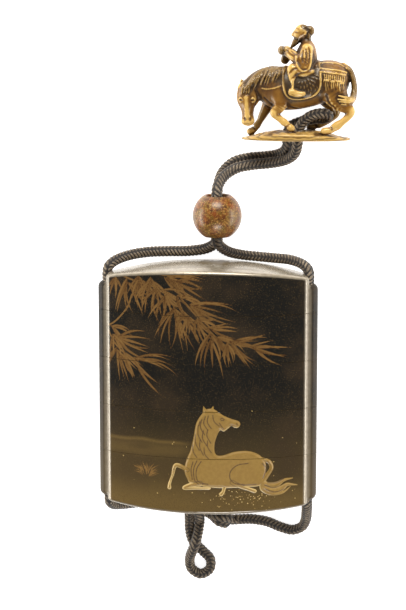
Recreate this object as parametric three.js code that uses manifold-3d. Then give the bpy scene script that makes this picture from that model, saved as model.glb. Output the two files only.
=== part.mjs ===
// A lacquered inro: four hollow cases and a lid stacked on a silk cord, with its sliding bead (ojime)
// and its carved toggle (netsuke), a groom riding a horse on a thin oval base.
// It lies on its back. Millimetres: X to the right, Y from the foot towards the toggle, Z up.
// The origin lies on the middle line of the narrow flat on the back of the stack, on the surface it
// lies on, and its distances to the crown and to the foot are the first two dimensions.
import * as THREE from "three";
import { LoftGeometry } from "three/addons/geometries/LoftGeometry.js";
import { mergeVertices } from "three/addons/utils/BufferGeometryUtils.js";
import Module from "manifold-3d";

const wasm = await Module();
wasm.setup();

// ---- Driving dimensions ----

// The stack of cases.
const CROWN = 37.8; // the crown, up the middle
const FOOT = -39.6; // the foot
const BODY_WIDTH = 62.2; // without the cord runners
const BODY_THICK = 22; // front to back, up the middle
const SIDE_THICK = 7; // what the lens-shaped section keeps at its sides
const SIDE_ROUND = 2.2; // radius of its four long edges
const BACK_FLAT = 8; // width of the flat it rests on
const LID_HEIGHT = 14.5; // crown to the first joint, up the middle
const CASE_HEIGHT = 14.8; // each of the three middle cases
const SEAM = 0.12; // the gap between two cases
const CROWN_RISE = 3.5; // how far the crown is arched across the width
const FOOT_RISE = 2.2;
const END_DOME = 0.8; // how far crown and foot are domed front to back
const END_ROUND = 0.9; // radius of their rims

// Walls, and the risers on which the cases plug together.
const WALL_SIDE = 4.2; // at the two ends, where the cord channels run
const WALL_FACE = 2; // front and back
const RISER_GAP = 0.3;
const RISER_WALL = 1.1;
const RISER_HEIGHT = 5;
const RISER_ROOM = 5.5; // depth of the recess a riser stands in
const FLOOR = 1.5;
const END_WALL = 2.2; // of the crown and the foot
const END_WALL_ROUND = 0.6; // radius inside them

// Cord, its channels and the half-round runners that they are bored through.
const CORD = 3;
const CHANNEL = 3.6;
const RUNNER = 5.6;
const RUNNER_OUT = 33.7; // outermost reach, from the middle
const RUNNER_ROUND = 2; // how the runners' ends are rounded off
const RUNNER_SHORT = 2.2; // how far below the crown's corner they end, and
const RUNNER_SHORT_FOOT = 1.2; // above the foot's

// Bead.
const BEAD = 15;
const BEAD_HOLE = 6.8;
const BEAD_AT = new THREE.Vector3(2.6, 51.9, BEAD / 2 - 0.04);
const STRAND = 1.6; // each of the two strands in it runs this far above or below its middle

// Toggle: where the middle of its base's underside lies, and how it leans on its far side.
const TOGGLE_AT = new THREE.Vector3(26.4, 75, 7.7);
const TOGGLE_LEAN = THREE.MathUtils.degToRad(-3);
const TOGGLE_SCALE = 0.97;
const BASE = { length: 34, depth: 15.6, foot: 0.5, thick: 2.9 };
const CORD_HOLE = 4.3;
const HOLE_A = { u: 0.7, w: 1.5 };
const HOLE_B = { u: -2.6, w: -2.4 };

// The reclining horse on the front, raised from the lacquer.
const RELIEF = 0.4;

const MID = BODY_THICK / 2 - BACK_FLAT ** 2 / 8 / arcRadius(0); // height of the stack's middle plane
const SEAMS = [0, 1, 2, 3].map((i) => CROWN - LID_HEIGHT - i * CASE_HEIGHT);
const CHANNEL_X = RUNNER_OUT - RUNNER / 2;
const RUNNER_TOP = CROWN - CROWN_RISE - RUNNER_SHORT;
const RUNNER_FOOT = FOOT + FOOT_RISE + RUNNER_SHORT_FOOT;

// ---- Solids ----

// A closed geometry as a solid. Corners that coincide are merged, and faces that this leaves
// without area are dropped; a surface that comes out inside out is turned round.
function solid(geometry) {
  const bare = new THREE.BufferGeometry();
  bare.setAttribute("position", geometry.getAttribute("position"));
  if (geometry.index) bare.setIndex(geometry.index);
  const merged = mergeVertices(bare, 1e-4);
  const at = merged.index.array;
  const kept = [];
  for (let i = 0; i < at.length; i += 3) {
    const [a, b, c] = [at[i], at[i + 1], at[i + 2]];
    if (a !== b && b !== c && c !== a) kept.push(a, b, c);
  }
  const build = (triVerts) =>
    new wasm.Manifold(
      new wasm.Mesh({ numProp: 3, vertProperties: merged.attributes.position.array, triVerts }),
    );
  const made = build(new Uint32Array(kept));
  return made.volume() > 0 ? made : build(new Uint32Array(kept.reverse()));
}

function geometryOf(made) {
  const mesh = made.getMesh();
  const points = new Float32Array(mesh.numVert * 3);
  for (let i = 0; i < mesh.numVert; i++) {
    for (let k = 0; k < 3; k++) points[3 * i + k] = mesh.vertProperties[i * mesh.numProp + k];
  }
  const geometry = new THREE.BufferGeometry();
  geometry.setAttribute("position", new THREE.BufferAttribute(points, 3));
  geometry.setIndex(new THREE.BufferAttribute(new Uint32Array(mesh.triVerts), 1));
  geometry.computeVertexNormals();
  return geometry;
}

const join = (parts) => parts.reduce((whole, next) => whole.add(next));

// A round rod along Y, from y0 to y1, at (x, z).
function rod(diameter, y0, y1, x, z, sides = 10) {
  const geometry = new THREE.CylinderGeometry(diameter / 2, diameter / 2, y1 - y0, sides);
  return solid(geometry.translate(x, (y0 + y1) / 2, z));
}

// ---- The stack's section ----

// Radius of the front and back arcs, for a section drawn in by inset.
function arcRadius(inset) {
  const sagitta = (BODY_THICK - SIDE_THICK) / 2;
  return ((BODY_WIDTH / 2) ** 2 + sagitta ** 2) / 2 / sagitta - inset;
}

// The lens-shaped section as points (x, z) about its middle: an arc in front and behind, two upright
// sides, and a rounding of radius round at each of the four corners. side and inset draw it in.
function section(side = 0, inset = 0, round = SIDE_ROUND, arcSteps = 8, cornerSteps = 2) {
  const radius = arcRadius(inset);
  const centre = arcRadius(0) - BODY_THICK / 2; // how far the arc's centre lies beyond the middle
  const cornerX = BODY_WIDTH / 2 - side - round;
  const cornerZ = Math.sqrt((radius - round) ** 2 - cornerX ** 2) - centre;
  const reach = Math.atan2(cornerX, cornerZ + centre);
  const quarter = []; // from the middle of the front to the middle of the right side
  for (let i = 0; i <= arcSteps; i++) {
    const a = (reach * i) / arcSteps;
    quarter.push([radius * Math.sin(a), radius * Math.cos(a) - centre]);
  }
  for (let i = 1; i <= cornerSteps; i++) {
    const a = reach + ((Math.PI / 2 - reach) * i) / cornerSteps;
    quarter.push([cornerX + round * Math.sin(a), cornerZ + round * Math.cos(a)]);
  }
  const back = quarter.toReversed().map(([x, z]) => [x, -z]);
  const right = [...quarter, ...back];
  const left = right.slice(1, -1).toReversed().map(([x, z]) => [-x, z]);
  return [...right, ...left];
}

// The outside section, with the flat it rests on.
function outside() {
  const drop = MID - BODY_THICK / 2; // the arc's lowest point lies this far under the flat
  return section().map(([x, z]) => [x, Math.max(z, -BODY_THICK / 2 - drop)]);
}

const ring = (outline, height) =>
  outline.map(([x, z]) => new THREE.Vector3(x, typeof height === "number" ? height : height(x, z), z + MID));

// A straight block of the section, from y0 to y1.
function block(outline, y0, y1) {
  return solid(new LoftGeometry([ring(outline, y0), ring(outline, y1)], { capStart: true, capEnd: true }));
}

// A block of the section from a flat end at y0 to an arched and domed one at y1. Its rim is rounded
// by the radius round, and the end closes on the ridge of its middle plane.
function archedBlock(outline, y0, y1, rise, round) {
  const way = Math.sign(y1 - y0);
  const surface = (x, z) => {
    const arch = rise * (x / (BODY_WIDTH / 2)) ** 2;
    return y1 - way * (arch + END_DOME * (z / (BODY_THICK / 2)) ** 2);
  };
  const drawn = (inset, share = 1) =>
    outline.map(([x, z]) => [x - Math.sign(x) * Math.min(inset, Math.abs(x)), (z - Math.sign(z) * inset) * share]);
  const rings = [ring(outline, y0)];
  for (const turn of [0, 45, 90].map(THREE.MathUtils.degToRad)) {
    const drop = way * round * (1 - Math.sin(turn));
    rings.push(ring(drawn(round * (1 - Math.cos(turn))), (x, z) => surface(x, z) - drop));
  }
  for (const share of [0.5, 0]) rings.push(ring(drawn(round, share), surface));
  const facing = way > 0 ? rings : rings.map((places) => places.toReversed());
  return solid(new LoftGeometry(facing, { capStart: true }));
}

// The runner of one side, rounded off at an end of the stack.
function runner(side, y0, y1, endAtTop, endAtFoot) {
  const r = RUNNER / 2;
  const profile = [new THREE.Vector2(0, y0)];
  if (endAtFoot) {
    for (let i = 0; i <= 3; i++) {
      const a = (Math.PI / 2) * (i / 3);
      profile.push(new THREE.Vector2(r - RUNNER_ROUND * (1 - Math.sin(a)), y0 + RUNNER_ROUND * (1 - Math.cos(a))));
    }
  } else profile.push(new THREE.Vector2(r, y0));
  if (endAtTop) {
    for (let i = 3; i >= 0; i--) {
      const a = (Math.PI / 2) * (i / 3);
      profile.push(new THREE.Vector2(r - RUNNER_ROUND * (1 - Math.sin(a)), y1 - RUNNER_ROUND * (1 - Math.cos(a))));
    }
  } else profile.push(new THREE.Vector2(r, y1));
  profile.push(new THREE.Vector2(0, y1));
  return solid(new THREE.LatheGeometry(profile, 12).translate(side * CHANNEL_X, 0, MID));
}

// The outer block with its two runners, not bored yet.
function shell(name, y0, y1) {
  const isLid = name === "lid";
  const isFoot = name === "foot";
  let body = block(outside(), y0, y1);
  if (isLid) body = archedBlock(outside(), y0, y1, CROWN_RISE, END_ROUND);
  if (isFoot) body = archedBlock(outside(), y1, y0, FOOT_RISE, END_ROUND);
  const top = isLid ? RUNNER_TOP : y1;
  const bottom = isFoot ? RUNNER_FOOT : y0;
  const runners = [-1, 1].map((side) => runner(side, bottom, top, isLid, isFoot));
  return join([body, ...runners]);
}

// ---- The raised picture ----

// Outlines of the reclining horse, in x and y: body with neck and head, a foreleg, and the tail.
const HORSE_BODY = [
  [-5, -28.6],
  [-6.3, -25],
  [-5.6, -21.4],
  [-4.4, -18.4],
  [-3.4, -14],
  [-2.6, -9.8],
  [-0.8, -6.6],
  [0.6, -5],
  [3.2, -4.9],
  [5.6, -7],
  [8.4, -8.5],
  [10.7, -9.4],
  [10.6, -11.2],
  [7.6, -11.4],
  [5, -12.4],
  [3.4, -15],
  [3, -18.6],
  [5.4, -19.8],
  [9, -18.8],
  [13, -18.6],
  [16.4, -19.9],
  [19, -23],
  [18.6, -27],
  [16.4, -30.6],
  [11.6, -30.4],
  [6, -30.9],
  [0.4, -30.3],
];

const HORSE_FORELEG = [
  [-5.2, -24.2],
  [-8.4, -23.6],
  [-10.2, -29.6],
  [-11.6, -29.4],
  [-9.6, -22],
  [-5, -22.2],
];

const HORSE_TAIL = [
  [17.4, -28.8],
  [21, -30.6],
  [24.6, -28.4],
  [27.4, -28.6],
  [25.2, -31.6],
  [20.4, -32.4],
  [16.6, -31.2],
];

// The horse as one slab: it lies between the section and the section grown by the relief's height.
function horse() {
  const grown = section(0, 0, SIDE_ROUND + RELIEF, 16).map(([x, z]) => [x, z + (z > 0 ? RELIEF : 0)]);
  const layer = block(grown, FOOT, 0).subtract(block(section(1, 1.2), FOOT - 1, 1));
  const slabs = [HORSE_BODY, HORSE_FORELEG, HORSE_TAIL].map((outline) => {
    const curve = new THREE.CatmullRomCurve3(outline.map(([x, y]) => new THREE.Vector3(x, y, 0)), true);
    const shape = new THREE.Shape(curve.getPoints(outline.length * 2).map(({ x, y }) => new THREE.Vector2(x, y)));
    return solid(new THREE.ExtrudeGeometry(shape, { depth: BODY_THICK, bevelEnabled: false }).translate(0, 0, MID));
  });
  return join(slabs).intersect(layer);
}

// What of the horse lies on the stretch from y0 to y1.
function horseOn(y0, y1) {
  const box = new THREE.BoxGeometry(2 * BODY_WIDTH, y1 - y0, 4 * BODY_THICK);
  return horse().intersect(solid(box.translate(0, (y0 + y1) / 2, MID)));
}

const bore = (made) =>
  [-1, 1].reduce((rest, side) => rest.subtract(rod(CHANNEL, 2 * FOOT, 2 * CROWN, side * CHANNEL_X, MID)), made);

const inner = (side, face, round) => section(side, face, round, 6, 2);
const recess = () => inner(WALL_SIDE, WALL_FACE, 1.2);
const riserOutside = () => inner(WALL_SIDE + RISER_GAP, WALL_FACE + RISER_GAP, 1.1);
const compartment = () => inner(WALL_SIDE + RISER_GAP + RISER_WALL, WALL_FACE + RISER_GAP + RISER_WALL, 0.9);

function lid() {
  const made = shell("lid", SEAMS[0] + SEAM / 2, CROWN);
  const inside = archedBlock(recess(), SEAMS[0] - 1, CROWN - END_WALL, CROWN_RISE, END_WALL_ROUND);
  return bore(made.subtract(inside));
}

// A case between two joints: a recess under its floor for the riser below, its own compartment, and
// the riser that carries the case above. The lowest case has no recess.
function drawerCase(level) {
  const isFoot = level === SEAMS.length - 1;
  const top = SEAMS[level] - SEAM / 2;
  const mouth = top + RISER_HEIGHT;
  const bottom = isFoot ? FOOT : SEAMS[level + 1] + SEAM / 2;
  let made = shell(isFoot ? "foot" : "case", bottom, top).add(block(riserOutside(), top - 1, mouth));
  if (isFoot) {
    made = made.subtract(archedBlock(compartment(), mouth + 1, bottom + END_WALL, FOOT_RISE, END_WALL_ROUND));
  } else {
    made = made.subtract(block(compartment(), bottom + RISER_ROOM + FLOOR, mouth + 1));
    made = made.subtract(block(recess(), bottom - 1, bottom + RISER_ROOM));
  }
  if (level > 0) made = made.add(horseOn(bottom, top));
  return bore(made);
}

// ---- The bead ----

function bead() {
  const radius = BEAD / 2;
  const hole = BEAD_HOLE / 2;
  const steps = 8;
  const start = Math.asin((hole + 0.5) / radius);
  const profile = [new THREE.Vector2(hole, -radius * Math.cos(start) + 0.25)];
  for (let i = 0; i <= steps; i++) {
    const a = start + ((Math.PI - 2 * start) * i) / steps;
    profile.push(new THREE.Vector2(radius * Math.sin(a), -radius * Math.cos(a)));
  }
  profile.push(new THREE.Vector2(hole, radius * Math.cos(start) - 0.25));
  profile.push(profile[0].clone());
  const made = solid(new THREE.LatheGeometry(profile, 20).translate(BEAD_AT.x, BEAD_AT.y, BEAD_AT.z));
  return made.subtract(underTheSurface());
}

// Everything below the surface that the object lies on: cutting it off leaves the resting flats.
function underTheSurface() {
  return solid(new THREE.BoxGeometry(400, 400, 10).translate(0, 0, -5));
}

// ---- The toggle ----
// Drawn in its own frame: u along the horse from nose to tail, v up, w towards the viewer.

// A limb through stations [u, v, w, half thickness in the u-v plane, half thickness along w]. Between
// stations all five values run on one smooth curve, and both ends are rounded.
function limb(stations, steps = 3, sides = 10) {
  const line = new THREE.CatmullRomCurve3(stations.map(([u, v, w]) => new THREE.Vector3(u, v, w)));
  const size = new THREE.CatmullRomCurve3(stations.map(([, , , a, b]) => new THREE.Vector3(a, b, 0)));
  const count = steps * (stations.length - 1);
  const rings = [];
  const addRing = (t, along, share) => {
    const tangent = line.getTangent(t);
    const centre = line.getPoint(t).addScaledVector(tangent, along);
    const { x: a, y: b } = size.getPoint(t);
    const depth = new THREE.Vector3(0, 0, 1).addScaledVector(tangent, -tangent.z).normalize();
    const flat = new THREE.Vector3().crossVectors(depth, tangent);
    const points = [];
    for (let i = 0; i < sides; i++) {
      const angle = (2 * Math.PI * i) / sides;
      const point = centre.clone().addScaledVector(flat, share * a * Math.cos(angle));
      points.push(point.addScaledVector(depth, share * b * Math.sin(angle)));
    }
    rings.push(points);
  };
  const rounding = (sides < 10 ? [45] : [60, 30]).map(THREE.MathUtils.degToRad);
  const cap = (t, way) => {
    const { x: a, y: b } = size.getPoint(t);
    const turns = way < 0 ? rounding : rounding.toReversed();
    for (const turn of turns) addRing(t, way * Math.min(a, b) * Math.sin(turn), Math.cos(turn));
  };
  cap(0, -1);
  for (let i = 0; i <= count; i++) addRing(i / count, 0, 1);
  cap(1, 1);
  return solid(new LoftGeometry(rings, { capStart: true, capEnd: true }));
}

// An egg: half sizes a, b, c along u, v, w.
const egg = ([u, v, w], [a, b, c], rows = 8) =>
  solid(new THREE.SphereGeometry(1, rows + 2, rows).scale(a, b, c).translate(u, v, w));

// The oval base: thin at its edge, a little higher in the middle.
function togglePlate() {
  const level = (share, v) => {
    const points = [];
    for (let i = 0; i < 28; i++) {
      const a = (2 * Math.PI * i) / 28;
      points.push(new THREE.Vector3((share * BASE.length * Math.sin(a)) / 2, v, (share * BASE.depth * Math.cos(a)) / 2));
    }
    return points;
  };
  const { foot, thick } = BASE;
  const edge = [[0.95, 0], [1, 0.2], [0.9, 0.62], [0.72, 1]];
  const rings = edge.map(([share, rise]) => level(share, foot + rise * thick));
  return solid(new LoftGeometry(rings, { capStart: true, capEnd: true }));
}

const BARREL = [
  [-9.2, 16.4, 0, 4.4, 3.9],
  [-5.5, 16.2, 0, 6.3, 5.2],
  [-1, 16.4, 0, 6.6, 5.7],
  [4, 17.2, 0, 6.4, 5.9],
  [8.4, 18.8, 0, 6.3, 5.6],
  [11.2, 19.1, 0, 6.1, 5.2],
  [12.8, 18.8, 0, 5, 3.7],
];

const NECK = [
  [-5, 17.4, 0, 5.6, 4.2],
  [-9, 18.2, 0.2, 4.9, 3.3],
  [-12.4, 17.6, 0.6, 3.7, 2.6],
  [-15, 16.2, 0.9, 2.5, 2.2],
];

const HEAD = [
  [-15.9, 16.4, 1, 2.4, 2.2],
  [-15.4, 14.4, 1.3, 2.9, 2.6],
  [-15.2, 11.6, 1.7, 2.6, 2.3],
  [-14.9, 8.4, 2.2, 1.9, 1.8],
  [-14.8, 6.4, 2.5, 2, 1.7],
];

const NEAR_FORELEG = [
  [-4.2, 14.6, 3, 3, 2.2],
  [-4.7, 11.6, 3.9, 2.2, 1.8],
  [-6.2, 8.8, 4.4, 1.5, 1.45],
  [-5.2, 7.3, 4.5, 1.1, 1.15],
  [-3.5, 5.9, 4.5, 1.15, 1.15],
  [-1.7, 4.5, 4.5, 1.3, 1.3],
];

const FAR_FORELEG = [
  [-8, 12.6, -3, 2.5, 1.8],
  [-10.4, 8, -3.7, 1.4, 1.35],
  [-12.2, 5, -3.7, 1.1, 1.15],
  [-13.6, 2.9, -3.6, 1.3, 1.2],
];

const NEAR_HIND_LEG = [
  [11.2, 16.4, 2.8, 4.6, 2.9],
  [13.6, 12.8, 3.6, 3, 2.1],
  [16.6, 9.9, 4.1, 1.5, 1.4],
  [15, 7.1, 4.3, 1.15, 1.15],
  [12.4, 5.1, 4.3, 1.3, 1.25],
  [9.4, 4, 4.3, 1.3, 1.3],
];

const FAR_HIND_LEG = [
  [9.8, 13.4, -2.8, 3.2, 2.3],
  [12, 10.2, -3.7, 1.9, 1.6],
  [11, 7.4, -4.2, 1.3, 1.2],
  [8, 5.4, -4.3, 1.2, 1.2],
  [4.8, 4.2, -4.3, 1.2, 1.2],
];

const TAIL = [
  [14.4, 23.2, 0, 1.3, 1.4],
  [16.4, 21.8, 0.3, 1.1, 1.5],
  [17.7, 19.2, 0.6, 1, 1.5],
  [18, 16.2, 1.2, 1, 1.4],
  [17.2, 13.7, 3, 1.1, 1.1],
  [14.4, 13.2, 5.2, 0.9, 0.7],
];

const RIDER_BODY = [
  [2.6, 20.6, 0, 4.3, 4.6],
  [2.8, 24.6, 0, 3.8, 3.9],
  [3.2, 28, 0, 2.9, 3.5],
  [3.1, 30, 0, 1.9, 2.4],
  [2.5, 32.2, 0.2, 1.3, 1.35],
];

const arm = (side) => [
  [3.4, 28.9, side * 2.7, 1.7, 1.5],
  [2.6, 25.6, side * 4.1, 2, 1.5],
  [0.6, 25.4, side * 3.9, 1.8, 1.4],
  [-1.5, 27, side * 2.6, 1.5, 1.3],
  [-3.2, 27.8, side * 1.3, 1.3, 1.2],
];

const riderLeg = (side) => [
  [2.8, 22, side * 3.8, 2.4, 1.9],
  [-0.4, 22, side * 5, 2, 1.6],
  [-1, 19.4, side * 5.7, 1.2, 1.1],
  [-0.9, 16.4, side * 6.1, 0.9, 0.9],
];

const shoe = (side) => [
  [-1.2, 15.6, side * 6.2, 1, 0.9],
  [2.2, 15.3, side * 6.3, 0.7, 0.8],
];

// Outline of the saddle cloth on the flank, in u and v.
const CLOTH = [
  [-3.7, 24],
  [-3.9, 19.9],
  [-3.4, 16.3],
  [-2.2, 14.1],
  [0.4, 13.4],
  [3.9, 13.9],
  [6.5, 15.3],
  [7.7, 17.8],
  [7.6, 21.8],
  [6.9, 25.6],
];
const CLOTH_THICK = 0.45;

// The cloth: the barrel grown by the cloth's thickness, kept inside the outline.
function saddleCloth() {
  const grown = BARREL.map(([u, v, w, a, b]) => [u, v, w, a + CLOTH_THICK, b + CLOTH_THICK]);
  const curve = new THREE.CatmullRomCurve3(CLOTH.map(([u, v]) => new THREE.Vector3(u, v, 0)));
  const outline = new THREE.Shape(curve.getPoints(20).map(({ x, y }) => new THREE.Vector2(x, y)));
  const slab = new THREE.ExtrudeGeometry(outline, { depth: 20, bevelEnabled: false }).translate(0, 0, -10);
  return limb(grown, 2, 12).intersect(solid(slab));
}

function toggle() {
  const parts = [
    togglePlate(),
    limb(BARREL, 2, 12),
    limb(NECK, 2, 10),
    limb(HEAD, 1, 10),
    egg([-13.2, 14, 1.7], [1.7, 2.7, 1.9], 6),
    limb([[-14.3, 17.3, 2.1, 0.8, 0.6], [-13.7, 18.8, 2.3, 0.35, 0.3]], 1, 6),
    limb([[-16.7, 17.3, 0.4, 0.8, 0.5], [-17, 18.8, 0.5, 0.35, 0.3]], 1, 6),
    limb(NEAR_FORELEG, 1, 8),
    limb(FAR_FORELEG, 1, 8),
    limb(NEAR_HIND_LEG, 1, 8),
    limb(FAR_HIND_LEG, 1, 8),
    limb(TAIL, 1, 7),
    saddleCloth(),
    limb(RIDER_BODY, 1, 10),
    egg([1.5, 33.9, 0.2], [2.35, 2.6, 2.1]),
    egg([3.8, 34.5, 0.1], [1.5, 1.7, 1.5], 6),
    limb([[0.3, 32.2, 0.3, 1.2, 1.2], [-1.1, 30, 0.3, 0.5, 0.5]], 1, 6),
    egg([-4.2, 28.2, 0], [1.6, 1.5, 2.7], 6),
  ];
  for (const side of [-1, 1]) {
    parts.push(limb(arm(side), 1, 7), limb(riderLeg(side), 1, 7), limb(shoe(side), 1, 7));
  }
  let made = join(parts);
  for (const { u, w } of [HOLE_A, HOLE_B]) made = made.subtract(rod(CORD_HOLE, -2, 5, u, w));
  return solid(geometryOf(made).applyMatrix4(toggleFrame())).subtract(underTheSurface());
}

// From the toggle's own frame to where it lies.
function toggleFrame() {
  const scale = new THREE.Matrix4().makeScale(TOGGLE_SCALE, TOGGLE_SCALE, TOGGLE_SCALE);
  return new THREE.Matrix4().makeRotationX(TOGGLE_LEAN).setPosition(TOGGLE_AT).multiply(scale);
}

// ---- The cord ----
// One length of silk: from the knot to the right channel, through it and over the crown to the bead, on
// to the toggle and through its base, and back the same way on the left.

const REST = CORD / 2 + 0.1; // height of a cord that lies on the surface

// A strand's points, in x, y and z.
const FOOT_RIGHT = [
  [8.6, -46.2, REST],
  [13, -46, REST],
  [18, -46.7, REST],
  [22.4, -48.4, REST],
  [26, -49.2, REST],
  [29, -47.9, 2.1],
  [30.3, -45, 4.2],
  [30.7, -41.4, 7.6],
  [CHANNEL_X, -38.2, 10.2],
];

const CROWN_RIGHT = [
  [CHANNEL_X - 0.3, 35.9, 10.4],
  [29, 37.3, 8.8],
  [25, 38.2, 5.8],
  [20.2, 38.2, 3.2],
  [14.8, 38.4, 1.9],
  [9.6, 38.9, 2],
  [5.8, 40.2, 4.2],
  [3.3, 42.6, 7.4],
];

const TO_TOGGLE = [
  [2.9, 61.2, 8.2],
  [4.8, 64, 5.4],
  [8.5, 66.2, 4.1],
  [13.4, 67.2, 3.9],
  [18.6, 67.8, 4],
  [23.2, 69, 5.4],
  [26.2, 71.4, 7.8],
];

// In the toggle's frame: up through one hole, a slack turn under the horse, and down the other.
const IN_TOGGLE = [
  [HOLE_A.u, -0.4, HOLE_A.w],
  [HOLE_A.u, 2.6, HOLE_A.w],
  [1.6, 5, 1.5],
  [3.4, 7.2, 1.5],
  [5.8, 8.5, 1.4],
  [8.4, 8.8, 0.9],
  [10.1, 8, -0.4],
  [8.8, 7.1, -1.8],
  [6.2, 7.1, -2.1],
  [3.4, 6.5, -2.1],
  [0.8, 5.7, -2.2],
  [-1.6, 4.5, HOLE_B.w],
  [HOLE_B.u, 2.4, HOLE_B.w],
  [HOLE_B.u, -0.4, HOLE_B.w],
];

const FROM_TOGGLE = [
  [23.2, 71.9, 4],
  [20.8, 70.3, 2.2],
  [16.6, 69.5, REST],
  [11.6, 69, REST],
  [7, 67.6, REST],
  [3.9, 64.7, 2.4],
  [2.8, 61.8, 4.7],
];

const CROWN_LEFT = [
  [1.8, 42.8, 4.6],
  [-1.2, 40.8, 2.6],
  [-6.4, 39.8, REST],
  [-13, 39.6, REST],
  [-19.6, 39.4, 2.6],
  [-25.2, 38.8, 5.8],
  [-29, 37.6, 8.9],
  [-CHANNEL_X + 0.3, 36.1, 10.5],
];

const FOOT_LEFT = [
  [-CHANNEL_X, -38.3, 10.4],
  [-30, -40.2, 8],
  [-27, -41.2, 4.4],
  [-22.4, -41.3, 2],
  [-16, -41.4, REST],
  [-9.6, -42.4, REST],
];

// The loop that hangs from the knot, crossing over itself above its end.
const LOOP = [
  [-6.6, -46.2, REST],
  [-6.5, -50, REST],
  [-5.4, -53.8, REST],
  [-2.4, -56.9, REST],
  [0, -59.6, REST],
  [-0.2, -62.8, REST],
  [-3.1, -64.5, REST],
  [-6, -62.7, REST],
  [-6.5, -59.4, 2.3],
  [-5.6, -56.4, 4.3],
  [-4.5, -53.5, 5.1],
  [-3.7, -50, 3.4],
  [-3.3, -46.8, REST],
];

const points = (list) => list.map((place) => new THREE.Vector3(...place));

function mainRoute() {
  const inBead = (z) => [
    new THREE.Vector3(BEAD_AT.x, BEAD_AT.y - BEAD / 2, BEAD_AT.z + z),
    new THREE.Vector3(BEAD_AT.x, BEAD_AT.y + BEAD / 2 + 0.4, BEAD_AT.z + z),
  ];
  const inChannel = (side) => [
    new THREE.Vector3(side * CHANNEL_X, RUNNER_FOOT - 0.6, MID),
    new THREE.Vector3(side * CHANNEL_X, RUNNER_FOOT + 2, MID),
    new THREE.Vector3(side * CHANNEL_X, RUNNER_TOP, MID),
    new THREE.Vector3(side * CHANNEL_X, RUNNER_TOP + 2.4, MID),
  ];
  return [
    ...points(FOOT_RIGHT),
    ...inChannel(1),
    ...points(CROWN_RIGHT),
    ...inBead(STRAND),
    ...points(TO_TOGGLE),
    ...points(IN_TOGGLE).map((point) => point.applyMatrix4(toggleFrame())),
    ...points(FROM_TOGGLE),
    ...inBead(-STRAND).toReversed(),
    ...points(CROWN_LEFT),
    ...inChannel(-1).toReversed(),
    ...points(FOOT_LEFT),
  ];
}

// A plain eight-sided tube along a route, with one step from each point to the next.
function cordTube(route) {
  const path = new THREE.CatmullRomCurve3(route);
  path.getUtoTmapping = (share) => share;
  const outline = new THREE.Shape();
  for (let i = 0; i < 8; i++) {
    const a = (Math.PI * i) / 4;
    outline[i ? "lineTo" : "moveTo"]((CORD / 2) * Math.cos(a), (CORD / 2) * Math.sin(a));
  }
  return solid(new THREE.ExtrudeGeometry(outline, { extrudePath: path, steps: route.length - 1 }));
}

// The knot that ties the ends below the foot: the wound cord as one lump.
function knot() {
  const wound = limb([
    [-7.3, -43.3, 1.9, 1.7, 1.7],
    [-4.6, -43.6, 2.3, 2, 2.1],
    [-1.2, -44.4, 2.3, 1.8, 2],
    [2.6, -46.1, 2.7, 2.6, 2.5],
    [5, -46.5, 2.2, 2.1, 2],
    [6.7, -46.3, 1.7, 1.5, 1.5],
  ], 1, 10);
  return wound.subtract(underTheSurface());
}

// ---- The object ----

const LACQUER = { color: 0x2b2519, roughness: 0.25, metalness: 0.1 };
const finishes = {
  lacquer: new THREE.MeshStandardMaterial(LACQUER),
  bead: new THREE.MeshStandardMaterial({ color: 0x8a5a22, roughness: 0.25, metalness: 0.3 }),
  toggle: new THREE.MeshStandardMaterial({ color: 0xa8782c, roughness: 0.35, metalness: 0 }),
  silk: new THREE.MeshStandardMaterial({ color: 0x4a423a, roughness: 0.85, metalness: 0 }),
};

const object = new THREE.Group();

function add(name, made, material) {
  const mesh = new THREE.Mesh(geometryOf(made), material);
  mesh.name = name;
  object.add(mesh);
}

add("lid", lid(), finishes.lacquer);
const CASE_NAMES = ["case_first", "case_second", "case_third", "case_lowest"];
CASE_NAMES.forEach((name, level) => add(name, drawerCase(level), finishes.lacquer));
add("bead", bead(), finishes.bead);
add("toggle", toggle(), finishes.toggle);
add("cord", cordTube(mainRoute()), finishes.silk);
add("cord_loop", cordTube(points(LOOP)), finishes.silk);
add("cord_knot", knot(), finishes.silk);

export default object;
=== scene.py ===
"""A lacquered inro on its silk cord, with its bead and its carved toggle, lying on its back.

Every length here is in millimetres until it is put into a mesh. X runs to the right, Y from the foot of
the case towards the toggle, and Z up from the surface that it all lies on.
"""

import math

import bpy
import numpy as np
import openvdb
from mathutils import Matrix, Vector


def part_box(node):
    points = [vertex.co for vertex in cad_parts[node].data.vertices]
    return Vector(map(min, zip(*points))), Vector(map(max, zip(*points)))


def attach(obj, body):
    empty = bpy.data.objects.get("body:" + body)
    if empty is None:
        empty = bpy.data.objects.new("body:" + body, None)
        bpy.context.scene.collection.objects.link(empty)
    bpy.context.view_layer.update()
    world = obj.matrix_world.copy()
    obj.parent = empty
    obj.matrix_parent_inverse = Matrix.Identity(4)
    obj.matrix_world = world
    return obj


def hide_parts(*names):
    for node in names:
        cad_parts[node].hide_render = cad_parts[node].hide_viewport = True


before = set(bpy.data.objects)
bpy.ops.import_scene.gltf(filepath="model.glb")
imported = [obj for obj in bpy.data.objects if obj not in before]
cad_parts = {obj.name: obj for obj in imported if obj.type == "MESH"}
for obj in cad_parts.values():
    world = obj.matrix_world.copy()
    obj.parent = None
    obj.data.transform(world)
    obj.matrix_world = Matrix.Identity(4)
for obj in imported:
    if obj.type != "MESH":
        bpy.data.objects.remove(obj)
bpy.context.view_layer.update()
MM = 0.001


def corners(node):
    """Lowest and highest corner of a solid, in millimetres."""
    low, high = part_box(node)
    return np.array(low) / MM, np.array(high) / MM


# ---- Sizes, from the solids and from the case's own construction ----

_, LID_HIGH = corners("lid")
FOOT_LOW, _ = corners("case_lowest")
CROWN, FOOT = LID_HIGH[1], FOOT_LOW[1]
RUNNER_OUT = LID_HIGH[0]

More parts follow.
